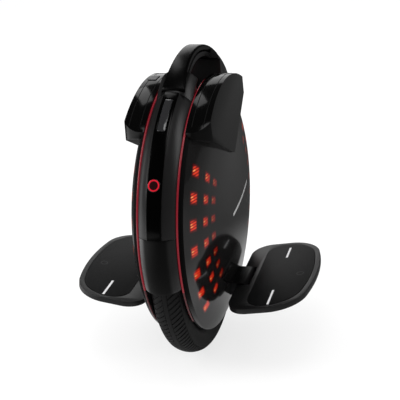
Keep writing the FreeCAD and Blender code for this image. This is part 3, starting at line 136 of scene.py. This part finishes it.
# A material with its surface, and the place on the object in metres
class Shade:
    def __init__(self, name, color, roughness, metallic=0.0, coat=0.0):
        self.material = bpy.data.materials.new(name)
        self.material.use_nodes = True
        self.tree = self.material.node_tree
        self.surface = self.tree.nodes["Principled BSDF"]
        self.put("Base Color", (*color, 1.0))
        self.put("Roughness", roughness)
        self.put("Metallic", metallic)
        self.put("Coat Weight", coat)
        self.put("Coat Roughness", coatRoughness)
        start = self.tree.nodes.new("ShaderNodeTexCoord")
        self.point = Wire(self.tree, start.outputs["Object"])
        split = self.tree.nodes.new("ShaderNodeSeparateXYZ")
        self.tree.links.new(self.point.socket, split.inputs[0])
        self.x, self.y, self.z = (Wire(self.tree, s) for s in split.outputs)

    def put(self, name, item):
        if isinstance(item, Wire):
            self.tree.links.new(item.socket, self.surface.inputs[name])
        else:
            self.surface.inputs[name].default_value = item

    # Distance from the middle of the shells, and degrees up from level at either end
    def polar(self):
        up = self.z - place["shellHeight"]
        radius = (self.y * self.y + up * up).op("SQRT")
        degrees = up.op("ARCTAN2", self.y.op("ABSOLUTE")) * (180.0 / math.pi)
        return radius, degrees

    # Another surface lies over the first, as far as the share says
    def blend(self, share, over):
        both = self.tree.nodes.new("ShaderNodeMixShader")
        self.tree.links.new(share.socket, both.inputs["Fac"])
        self.tree.links.new(self.surface.outputs["BSDF"], both.inputs[1])
        self.tree.links.new(over.outputs[0], both.inputs[2])
        self.tree.links.new(both.outputs[0], self.tree.nodes["Material Output"].inputs["Surface"])

    def noise(self, scale, detail, roughness=0.5):
        return self.point.node("ShaderNodeTexNoise", {
            "Vector": self.point, "Scale": scale, "Detail": detail, "Roughness": roughness})

    def bump(self, height, strength, distance):
        self.put("Normal", height.node("ShaderNodeBump", {
            "Height": height, "Strength": strength, "Distance": distance}))


# Finishes, by what the user may want to change. What one leaves out is as usual.
usual = {
    "specular": 0.5, "metallic": 0.0, "coat": 0.0, "grainScale": 900.0, "grainDetail": 3.0,
    "grainDepth": 0.00012}
finish = {
    "shell": {"color": (0.0055, 0.0053, 0.0053), "roughness": 0.11, "smudge": 0.06, "coat": 0.3},
    "deepBlack": {
        "color": (0.0004, 0.0004, 0.0004), "roughness": 0.12, "smudge": 0.04, "specular": 0.08},
    "shoulder": {"color": (0.0012, 0.0012, 0.0012), "roughness": 0.10, "specular": 0.16},
    "satinGrey": {
        "color": (0.007, 0.0067, 0.0069), "roughness": 0.34, "grain": 0.08, "specular": 0.32},
    "capBlack": {
        "color": (0.0004, 0.0004, 0.0004), "roughness": 0.26, "grain": 0.06, "specular": 0.12},
    "guardBlack": {
        "color": (0.0018, 0.0018, 0.0018), "roughness": 0.42, "grain": 0.1, "specular": 0.13},
    "wellBlack": {"color": (0.012, 0.012, 0.013), "roughness": 0.5, "grain": 0.15},
    "rubber": {
        "color": (0.0045, 0.0045, 0.0046), "roughness": 0.6, "grain": 0.4, "specular": 0.18,
        "grainScale": 500.0},
    "pedal": {"color": (0.005, 0.005, 0.0053), "roughness": 0.4, "grain": 0.2, "specular": 0.4},
    "pad": {
        "color": (0.0035, 0.0035, 0.0038), "roughness": 0.5, "grain": 0.4, "specular": 0.1,
        "grainScale": 700.0, "grainDepth": 0.0003},
    "trim": {"color": (0.03, 0.03, 0.032), "roughness": 0.4, "grain": 0.2},
    "alloy": {"color": (0.01, 0.01, 0.0105), "roughness": 0.4, "grain": 0.1, "metallic": 0.9},
    "steel": {"color": (0.5, 0.5, 0.51), "roughness": 0.28, "grain": 0.1, "metallic": 1.0},
}
smudges = {"scale": 14.0, "detail": 5.0, "roughness": 0.6, "from": 0.4, "to": 0.75}


def grainShade(name):
    f = usual | finish[name]
    s = Shade(name, f["color"], f["roughness"], f["metallic"])
    s.put("Specular IOR Level", f["specular"])
    grain = s.noise(f["grainScale"], f["grainDetail"])
    spread = f["grain"] / 2
    s.put("Roughness", grain * spread + (f["roughness"] - spread / 2))
    s.bump(grain, f["grain"], f["grainDepth"])
    return s


def glossShade(name, m):
    f = usual | finish[name]
    s = Shade(name, f["color"], f["roughness"], coat=f["coat"])
    s.put("Specular IOR Level", f["specular"])
    smudge = s.noise(m["scale"], m["detail"], m["roughness"]).step(m["from"], m["to"])
    s.put("Roughness", smudge * f["smudge"] + f["roughness"])
    return s


# A plain pale bar on each side shell, given by its ends in Y and Z
shellBar = {
    "start": (-0.036, 0.248), "end": (0.082, 0.261), "half": 0.0026, "color": (0.42, 0.42, 0.42)}

# The rolled rim of the side shells is dull black, down to where it fades
shellRim = {
    "radius": 0.2036, "fade": (-0.15, -0.06), "color": (0.0012, 0.0012, 0.0012), "roughness": 0.6,
    "specular": 0.08}


def shellShade(bar, rim):
    s = glossShade("shell", smudges)
    (y0, z0), (y1, z1) = bar["start"], bar["end"]
    length = math.hypot(y1 - y0, z1 - z0)
    uy, uz = (y1 - y0) / length, (z1 - z0) / length
    along = (s.y - y0) * uy + (s.z - z0) * uz
    off = (s.z - z0) * uy - (s.y - y0) * uz
    mask = along.op("COMPARE", length / 2, length / 2) * off.op("COMPARE", 0.0, bar["half"])
    s.put("Base Color", mask.mix(finish["shell"]["color"], bar["color"]))
    radius, _ = s.polar()
    rolled = radius.op("GREATER_THAN", rim["radius"])
    dull = s.tree.nodes.new("ShaderNodeBsdfPrincipled")
    dull.inputs["Base Color"].default_value = (*rim["color"], 1.0)
    dull.inputs["Roughness"].default_value = rim["roughness"]
    dull.inputs["Specular IOR Level"].default_value = rim["specular"]
    s.blend(rolled * (s.z - place["shellHeight"]).step(*rim["fade"]), dull)
    return s.material


# Pale marks on the pads: short bars along the pedal and a faint ring, from the hinge, in metres
padMarks = {
    "bar": 0.060, "barHalf": 0.0018, "spans": ((-0.110, -0.062), (0.058, 0.097)),
    "ring": 0.095, "ringY": -0.008, "ringRadius": 0.0055, "ringHalf": 0.0008, "ringShare": 0.03,
    "color": (0.72, 0.72, 0.73)}


def padShade(p):
    s = grainShade("pad")
    tilt = math.radians(place["pedalTilt"])
    out = s.x.op("ABSOLUTE") - place["hingeX"]
    out = out * math.cos(tilt) + (s.z - place["hingeZ"]) * math.sin(tilt)
    spans = [s.y.op("COMPARE", (a + b) / 2, (b - a) / 2) for a, b in p["spans"]]
    bars = out.op("COMPARE", p["bar"], p["barHalf"]) * (spans[0] + spans[1])
    fromRing = ((out - p["ring"]) ** 2.0 + (s.y - p["ringY"]) ** 2.0).op("SQRT")
    ring = fromRing.op("COMPARE", p["ringRadius"], p["ringHalf"]) * p["ringShare"]
    s.put("Base Color", (bars + ring).mix(finish["pad"]["color"], p["color"]))
    return s.material


# Shoulders: fine dark joints run along their tops
shoulderJoints = {"at": (0.040, 0.0575), "half": 0.0006, "low": 0.425, "dull": 0.6, "depth": 0.0008}


def shoulderShade(j):
    f = finish["shoulder"]
    s = Shade("shoulder", f["color"], f["roughness"])
    s.put("Specular IOR Level", f["specular"])
    side = s.x.op("ABSOLUTE")
    lines = [side.op("COMPARE", at, j["half"]) for at in j["at"]]
    groove = (lines[0] + lines[1]) * s.z.op("GREATER_THAN", j["low"])
    s.put("Roughness", groove * j["dull"] + f["roughness"])
    s.bump(1.0 - groove, 1.0, j["depth"])
    return s.material


# Mudguards: glossier on their flanks than in the middle
guardFlanks = {"from": 0.015, "to": 0.021, "coat": 0.7}


def guardShade(g):
    s = grainShade("guardBlack")
    s.put("Coat Weight", s.x.op("ABSOLUTE").step(g["from"], g["to"]) * g["coat"])
    return s.material


# Front fender: the black of the handle runs down over its upper end in two points
capPoints = {"half": 0.0195, "inner": 0.006, "high": 72.0, "low": 67.0}


def fenderShade(c):
    s = grainShade("satinGrey")
    side = s.x.op("ABSOLUTE")
    _, degrees = s.polar()
    edge = (side - c["inner"]) * ((c["low"] - c["high"]) / (c["half"] - c["inner"])) + c["high"]
    black = (degrees - edge).op("GREATER_THAN", 0.0) * side.op("LESS_THAN", c["half"])
    black = black * s.y.op("LESS_THAN", 0.0)
    s.put("Base Color", black.mix(finish["satinGrey"]["color"], finish["capBlack"]["color"]))
    return s.material


# Light windows: red panes that glow in stripes, hottest at their outer side, dimmer further in.
# Around is in window pitches from a pane's middle, across in half sizes.
windowLight = {
    "pitch": 12.6, "columns": (0.1245, 0.151, 0.183), "halfSize": 0.0085,
    "pane": (0.020, 0.0008, 0.001), "roughness": 0.10, "coat": 0.5,
    "edgeAround": (0.10, 0.27), "edgeAcross": (0.5, 1.1), "softness": 0.7,
    "stripe": 0.0042, "stripeShare": 0.8,
    "dim": (0.10, 0.0, 0.002), "glow": (0.72, 0.036, 0.010), "glowFrom": (0.1, 0.75),
    "hot": (1.0, 0.42, 0.12), "hotFrom": (0.3, 0.95), "hotAround": (0.02, 0.16),
    "hotAcross": (-0.7, 0.7), "strength": 1.0, "inmost": 0.22, "fadeRadius": (0.1125, 0.175)}


def windowShade(w):
    s = Shade("window", w["pane"], w["roughness"], coat=w["coat"])
    radius, degrees = s.polar()
    turn = degrees / w["pitch"]
    around = (turn - turn.op("ROUND")).op("ABSOLUTE")
    inner, middle, outer = w["columns"]
    column = radius.op("GREATER_THAN", (inner + middle) / 2) * (middle - inner) + inner
    column = radius.op("GREATER_THAN", (middle + outer) / 2) * (outer - middle) + column
    across = (radius - column) / w["halfSize"]
    lit = (1.0 - around.step(*w["edgeAround"])) * (1.0 - across.op("ABSOLUTE").step(*w["edgeAcross"]))
    wave = (s.z * (2.0 * math.pi / w["stripe"])).op("SINE") * 0.5 + 0.5
    heat = lit * (wave * w["stripeShare"] + (1.0 - w["stripeShare"]))
    warm = heat.step(*w["glowFrom"]).mix(w["dim"], w["glow"])
    streak = heat * across.step(*w["hotAcross"]) * (1.0 - around.step(*w["hotAround"]))
    color = streak.step(*w["hotFrom"]).mix(warm, w["hot"])
    fade = radius.step(*w["fadeRadius"]) * (1.0 - w["inmost"]) + w["inmost"]
    power = lit ** w["softness"] * fade
    s.put("Emission Color", color.node("ShaderNodeVectorMath", {0: color, "Scale": power},
                                       operation="SCALE"))
    s.put("Emission Strength", w["strength"])
    return s.material


# Light line: a thin stripe glows along the tube and ends beside the mudguard
lineLight = {
    "color": (0.05, 0.003, 0.005), "roughness": 0.25, "glow": (0.5, 0.02, 0.04), "strength": 0.34,
    "circle": 0.2084, "half": 0.0009, "end": -17.0}


def lineShade(line):
    s = Shade("line", line["color"], line["roughness"])
    radius, degrees = s.polar()
    stripe = radius.step(line["circle"] - line["half"], line["circle"] + line["half"])
    lit = stripe * degrees.op("GREATER_THAN", line["end"])
    s.put("Emission Color", lit.mix(unlit, line["glow"]))
    s.put("Emission Strength", line["strength"])
    return s.material


# Reflectors: a red ring around a dark middle, at an angle up from level in degrees. The ring also gets a
# painted glow from a weak emission, though a reflector gives no light of its own
reflector = {
    "front": 28.8, "rear": 16.5, "radius": 0.2285, "ring": (0.0066, 0.0085), "soft": 0.0006,
    "red": (0.46, 0.006, 0.018), "dark": (0.012, 0.0008, 0.0012), "roughness": 0.14, "coat": 0.5,
    "strength": 0.2}


def reflectorShade(r, side):
    s = Shade(f"reflector{side}", r["dark"], r["roughness"], coat=r["coat"])
    _, degrees = s.polar()
    along = (degrees - r[side]) * math.radians(r["radius"])
    away = (along * along + s.x * s.x).op("SQRT")
    within, beyond = (away.step(edge - r["soft"], edge + r["soft"]) for edge in r["ring"])
    ring = within * (1.0 - beyond)
    s.put("Base Color", ring.mix(r["dark"], r["red"]))
    # Painted glow: the red ring emits light, though a reflector is no lamp
    s.put("Emission Color", ring.mix(unlit, r["red"]))
    s.put("Emission Strength", r["strength"])
    return s.material


# Lamps and what lies inside: colour, roughness, coat
plain = {
    "lampClear": ((0.016, 0.016, 0.017), 0.10, 0.5),
    "lampRed": ((0.2, 0.004, 0.004), 0.06, 1.0),
    "boardGreen": ((0.01, 0.05, 0.02), 0.5, 0.0),
    "packBlue": ((0.01, 0.03, 0.12), 0.4, 0.0),
    "copper": ((0.5, 0.2, 0.08), 0.3, 0.0),
    "iron": ((0.08, 0.08, 0.085), 0.5, 0.0)}

paint = {
    "shell": shellShade(shellBar, shellRim),
    "deepBlack": glossShade("deepBlack", smudges).material,
    "shoulder": shoulderShade(shoulderJoints),
    "satinGrey": fenderShade(capPoints),
    "guardBlack": guardShade(guardFlanks),
    "pad": padShade(padMarks),
    "window": windowShade(windowLight),
    "line": lineShade(lineLight),
    "reflectorFront": reflectorShade(reflector, "front"),
    "reflectorRear": reflectorShade(reflector, "rear")}
for name in ("capBlack", "wellBlack", "rubber", "pedal", "trim", "alloy", "steel"):
    paint[name] = grainShade(name).material
for name, (color, roughness, coat) in plain.items():
    paint[name] = Shade(name, color, roughness, coat=coat).material

# Which pieces wear which finish
wears = {
    "rubber": "tyre inner_tube",
    "alloy": "motor_rim motor_cover_right motor_cover_left hanger_right hanger_left heat_sink",
    "steel": "valve_stem magnet_ring wheel_bearings cover_screws axle axle_nuts hanger_bolts "
             "hinge_pins leg_sleeves leg_middle_tubes leg_rods",
    "iron": "stator_core",
    "copper": "stator_windings",
    "shell": "side_shell_right side_shell_left",
    "window": "led_windows_right led_windows_left",
    "line": "light_line_right light_line_left",
    "boardGreen": "led_boards_right led_boards_left control_board",
    "packBlue": "battery_right battery_left",
    "wellBlack": "inner_liner_right inner_liner_left grip_well_floor speaker",
    "satinGrey": "front_fender rear_fender handle_arch",
    "guardBlack": "front_mudguard rear_mudguard",
    "deepBlack": "front_strip rear_strip",
    "reflectorFront": "front_reflector",
    "reflectorRear": "rear_reflector",
    "shoulder": "shoulder_left shoulder_right charge_flap",
    "trim": "power_button charge_socket lift_button",
    "capBlack": "handle_cap",
    "lampClear": "headlight_lens",
    "lampRed": "taillight_lens",
    "pedal": "pedal_right pedal_left",
    "pad": "pedal_pad_right pedal_pad_left"}
look = {node: paint[name] for name, nodes in wears.items() for node in nodes.split()}
for name, obj in frame["nodes"].items():
    obj.data.materials.clear()
    obj.data.materials.append(look[name])
print("stage: finishes on")


bodyOf = {}
for body, names in frame["record"]["behaviour"]["bodies"].items():
    for name in names:
        bodyOf[name] = body


def addObject(name, mesh, material):
    mesh.materials.clear()
    mesh.materials.append(material)
    obj = bpy.data.objects.new(name, mesh)
    scene.collection.objects.link(obj)
    return obj


def addMesh(name, points, faces, material):
    mesh = bpy.data.meshes.new(name)
    mesh.from_pydata([tuple(p) for p in points], [], faces)
    mesh.shade_smooth()
    return addObject(name, mesh, material)


def standFor(obj, *nodes):
    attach(obj, bodyOf[nodes[0]])
    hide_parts(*nodes)


def bake(obj):
    graph = bpy.context.evaluated_depsgraph_get()
    mesh = bpy.data.meshes.new_from_object(obj.evaluated_get(graph))
    obj.modifiers.clear()
    obj.data = mesh


# Blocky pieces get rounded edges, by the width given here in metres
rounding = {
    "handle_cap": 0.0045, "handle_arch": 0.003, "shoulder_right": 0.006, "shoulder_left": 0.006,
    "pedal_right": 0.0035, "pedal_left": 0.0035, "pedal_pad_right": 0.0007, "pedal_pad_left": 0.0007,
    "front_fender": 0.0009, "rear_fender": 0.0009, "front_mudguard": 0.0009,
    "rear_mudguard": 0.0009, "front_strip": 0.0006, "rear_strip": 0.0006,
    "hanger_right": 0.0015, "hanger_left": 0.0015, "front_reflector": 0.0007,
    "rear_reflector": 0.0007, "headlight_lens": 0.0012, "taillight_lens": 0.0012,
    "power_button": 0.0012, "lift_button": 0.0012, "charge_flap": 0.0008}

# Welding distance, angles in degrees that count as flat, as an edge and as sharp, steps of a rounding
edges = {"weld": 1e-6, "flat": 0.4, "edge": 28.0, "sharp": 40.0, "steps": 3}


def roundOff(node, width, e):
    work = bmesh.new()
    work.from_mesh(frame["nodes"][node].data)
    bmesh.ops.remove_doubles(work, verts=work.verts, dist=e["weld"])
    bmesh.ops.dissolve_limit(
        work, angle_limit=math.radians(e["flat"]), verts=work.verts, edges=work.edges)
    mesh = bpy.data.meshes.new(f"{node}Round")
    work.to_mesh(mesh)
    work.free()
    obj = addObject(f"{node}Round", mesh, look[node])
    bevel = obj.modifiers.new("edges", "BEVEL")
    bevel.width = width
    bevel.segments = e["steps"]
    bevel.limit_method = "ANGLE"
    bevel.angle_limit = math.radians(e["edge"])
    bake(obj)
    obj.data.shade_smooth()
    obj.data.set_sharp_from_angle(angle=math.radians(e["sharp"]))
    standFor(obj, node)


for node, width in rounding.items():
    roundOff(node, width, edges)
print("stage: edges rounded")


# Tyre: a smooth carcass with a rib in the middle and slanted tread bars beside it
tyre = {
    "radius": 0.203, "halfWidth": 0.027, "crownHalf": 0.0175, "crownDrop": 0.005,
    "beadRadius": 0.153, "beadHalf": 0.017, "beadTop": 0.160, "ribHalf": 0.0034,
    "treadEnd": 0.0215, "treadDepth": 0.0015, "ledge": 0.0001, "wallShort": 0.00005,
    "ribPoints": 4, "treadPoints": 12, "wallPoints": 9, "turns": 256,
    "bars": 124, "barWidth": 0.0087, "slant": 0.016, "barTaper": 0.25, "barTop": 0.94,
    "barFromRib": 0.0006, "barShort": 0.0002, "barSink": 0.0004, "barPoints": 9, "barSharp": 35.0}


def tyreRadius(t, x):
    x = abs(x)
    if x <= t["crownHalf"]:
        bend = (t["crownHalf"] ** 2 + t["crownDrop"] ** 2) / (2 * t["crownDrop"])
        return t["radius"] - bend + math.sqrt(bend ** 2 - x ** 2)
    low, high = t["beadTop"], t["radius"] - t["crownDrop"]
    half, swell = (high - low) / 2, t["halfWidth"] - (t["beadHalf"] + t["crownHalf"]) / 2
    bend = (half ** 2 + swell ** 2) / (2 * swell)
    return (low + high) / 2 + math.sqrt(max(bend ** 2 - (x - t["halfWidth"] + bend) ** 2, 0.0))


def lathe(name, profile, turns, height, material):
    ring = len(profile)
    points, faces = [], []
    for k in range(turns):
        angle = 2 * math.pi * k / turns
        points += [(x, r * math.sin(angle), height + r * math.cos(angle)) for x, r in profile]
        n = (k + 1) % turns
        for i in range(ring):
            j = (i + 1) % ring
            faces.append((k * ring + i, n * ring + i, n * ring + j, k * ring + j))
    return addMesh(name, points, faces, material)


def tyreProfile(t):
    half = []
    for x in np.linspace(0.0, t["ribHalf"], t["ribPoints"]):
        half.append((x, tyreRadius(t, x)))
    for x in np.linspace(t["ribHalf"] + t["ledge"], t["treadEnd"], t["treadPoints"]):
        half.append((x, tyreRadius(t, x) - t["treadDepth"]))
    for x in np.linspace(t["treadEnd"] + t["ledge"], t["halfWidth"] - t["wallShort"], t["wallPoints"]):
        half.append((x, tyreRadius(t, x)))
    middle = (t["beadTop"] + t["radius"] - t["crownDrop"]) / 2
    upper = half[1 - t["wallPoints"]:]
    for x, r in reversed(upper):
        half.append((x, 2 * middle - r))
    half.append((t["beadHalf"], t["beadTop"]))
    half.append((t["beadHalf"], t["beadRadius"]))
    return half + [(-x, r) for x, r in reversed(half[1:])]


def treadBar(t):
    points, faces = [], []
    rows = t["barPoints"]
    steps = np.linspace(t["ribHalf"] + t["barFromRib"], t["treadEnd"] - t["barShort"], rows)
    for sign in (1, -1):
        start = len(points)
        for x in steps:
            top = tyreRadius(t, x)
            base = top - t["treadDepth"] - t["barSink"]
            share = (x - steps[0]) / (steps[-1] - steps[0])
            middle = sign * t["slant"] * share
            half = t["barWidth"] / 2 * (1.0 - t["barTaper"] * share)
            upper = half * t["barTop"]
            for offset, r in ((-half, base), (-upper, top), (upper, top), (half, base)):
                angle = (middle + offset) / t["radius"]
                points.append((sign * x, r * math.sin(angle), r * math.cos(angle)))
        for i in range(rows - 1):
            a, b = start + i * 4, start + i * 4 + 4
            for j in range(3):
                quad = (a + j, a + j + 1, b + j + 1, b + j)
                faces.append(quad if sign < 0 else quad[::-1])
        for a, flip in ((start, sign > 0), (start + (rows - 1) * 4, sign < 0)):
            cap = (a, a + 1, a + 2, a + 3)
            faces.append(cap if flip else cap[::-1])
    return points, faces


# Geometry Nodes: copies of a part in a ring about X
def ringTree(name, material):
    tree = bpy.data.node_groups.new(name, "GeometryNodeTree")
    keys = {}
    for label, kind in (("Part", "Object"), ("Count", "Int"), ("Middle", "Vector")):
        socket = tree.interface.new_socket(label, in_out="INPUT", socket_type=f"NodeSocket{kind}")
        keys[label] = socket.identifier
    tree.interface.new_socket("Geometry", in_out="OUTPUT", socket_type="NodeSocketGeometry")
    given = tree.nodes.new("NodeGroupInput")
    part, count, middle = (Wire(tree, given.outputs[label]) for label in keys)
    spots = count.node("GeometryNodePoints", {"Count": count})
    shape = part.node("GeometryNodeObjectInfo", {"Object": part}, output="Geometry")
    turn = count.node("GeometryNodeInputIndex", {}) / count * (2 * math.pi)
    euler = turn.node("ShaderNodeCombineXYZ", {"X": turn})
    copies = spots.node("GeometryNodeInstanceOnPoints", {
        "Points": spots, "Instance": shape, "Rotation": euler})
    moved = copies.node("GeometryNodeTransform", {"Geometry": copies, "Translation": middle})
    real = moved.node("GeometryNodeRealizeInstances", {"Geometry": moved})
    painted = real.node("GeometryNodeSetMaterial", {"Geometry": real, "Material": material})
    made = tree.nodes.new("NodeGroupOutput")
    tree.links.new(painted.socket, made.inputs["Geometry"])
    return tree, keys


def buildTyre(t):
    rubber = look["tyre"]
    carcass = lathe("tyreCarcass", tyreProfile(t), t["turns"], place["axleHeight"], rubber)
    standFor(carcass, "tyre")
    part = addMesh("treadPart", *treadBar(t), rubber)
    part.data.set_sharp_from_angle(angle=math.radians(t["barSharp"]))
    tree, keys = ringTree("treadRing", rubber)
    tread = addMesh("tread", [(0, 0, 0)], [], rubber)
    ring = tread.modifiers.new("ring", "NODES")
    ring.node_group = tree
    ring[keys["Part"]] = part
    ring[keys["Count"]] = t["bars"]
    ring[keys["Middle"]] = (0.0, 0.0, place["axleHeight"])
    bake(tread)
    bpy.data.objects.remove(part)
    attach(tread, bodyOf["tyre"])


buildTyre(tyre)
print("stage: tyre made")


# Studio: white floor and surround, which gloss sees as a dim room with soft lights
studio = {
    "floor": 0.93, "floorRoughness": 0.95, "floorHalf": 8.0, "floorGlow": 0.72,
    "surround": 1.0, "roomInGloss": 0.035, "aim": (0.0, 0.0, 0.28),
    "lights": [
        {"at": (-1.9, -1.3, 1.9), "size": (0.5, 1.6), "power": 34.0},
        {"at": (2.3, 0.5, 1.7), "size": (0.7, 1.8), "power": 17.0},
        {"at": (0.2, -0.6, 2.6), "size": (1.0, 1.0), "power": 10.0},
        {"at": (-0.68, 2.25, 1.0), "size": (1.3, 1.5), "power": 6.8},
        {"at": (-2.3, 0.35, 0.42), "size": (0.8, 1.2), "power": 4.0},
        {"at": (-0.54, 0.83, 1.5), "size": (0.25, 0.8), "power": 1.4}]}

# How pale gloss sees the floor, by side, and the metres over which each side fades
floorInGloss = {
    "far": 0.04, "near": 0.4, "left": 0.9, "right": 0.08, "front": 0.08,
    "nearFade": (0.15, 0.55), "leftFade": (-1.0, -0.1), "rightFade": (0.0, 0.6), "frontFade": (0.0, 0.5)}


def lightPath(tree, output):
    return Wire(tree, tree.nodes.new("ShaderNodeLightPath").outputs[output])


def glossFloor(shade, g):
    away = (shade.x * shade.x + shade.y * shade.y).op("SQRT")
    near = 1.0 - away.step(*g["nearFade"])
    left = 1.0 - shade.x.step(*g["leftFade"])
    right = shade.x.step(*g["rightFade"])
    front = 1.0 - shade.y.step(*g["frontFade"])
    sides = left * front * g["left"] + right * g["right"]
    return near * g["near"] + sides + front * g["front"] + g["far"]


def floorShade(s):
    white = (s["floor"],) * 3
    shade = Shade("floorWhite", white, s["floorRoughness"])
    shade.put("Specular IOR Level", 0.0)
    gloss = lightPath(shade.tree, "Is Glossy Ray")
    shade.put("Base Color", gloss.mix(white, glossFloor(shade, floorInGloss)))
    seen = lightPath(shade.tree, "Is Camera Ray") * s["floorGlow"]
    shade.blend(seen, shade.tree.nodes.new("ShaderNodeEmission"))
    return shade.material


def buildFloor(s):
    half = s["floorHalf"]
    corners = [(-half, -half, 0), (half, -half, 0), (half, half, 0), (-half, half, 0)]
    mesh = bpy.data.meshes.new("floor")
    mesh.from_pydata(corners, [], [(0, 1, 2, 3)])
    floor = addObject("floor", mesh, floorShade(s))


def buildLights(s):
    for index, light in enumerate(s["lights"]):
        data = bpy.data.lights.new(f"light{index}", "AREA")
        data.energy = light["power"]
        data.shape = "RECTANGLE"
        data.size, data.size_y = light["size"]
        lamp = bpy.data.objects.new(f"light{index}", data)
        lamp.location = light["at"]
        aim = Vector(s["aim"]) - Vector(light["at"])
        lamp.rotation_euler = aim.to_track_quat("-Z", "Y").to_euler()
        scene.collection.objects.link(lamp)


def buildSurround(s):
    world = bpy.data.worlds.new("surround")
    world.use_nodes = True
    tree = world.node_tree
    background = tree.nodes["Background"]
    strength = lightPath(tree, "Is Glossy Ray") * (s["roomInGloss"] - s["surround"]) + s["surround"]
    tree.links.new(strength.socket, background.inputs["Strength"])
    background.inputs["Color"].default_value = (1.0, 1.0, 1.0, 1.0)
    scene.world = world


buildFloor(studio)
buildLights(studio)
buildSurround(studio)
print("stage: studio lit")
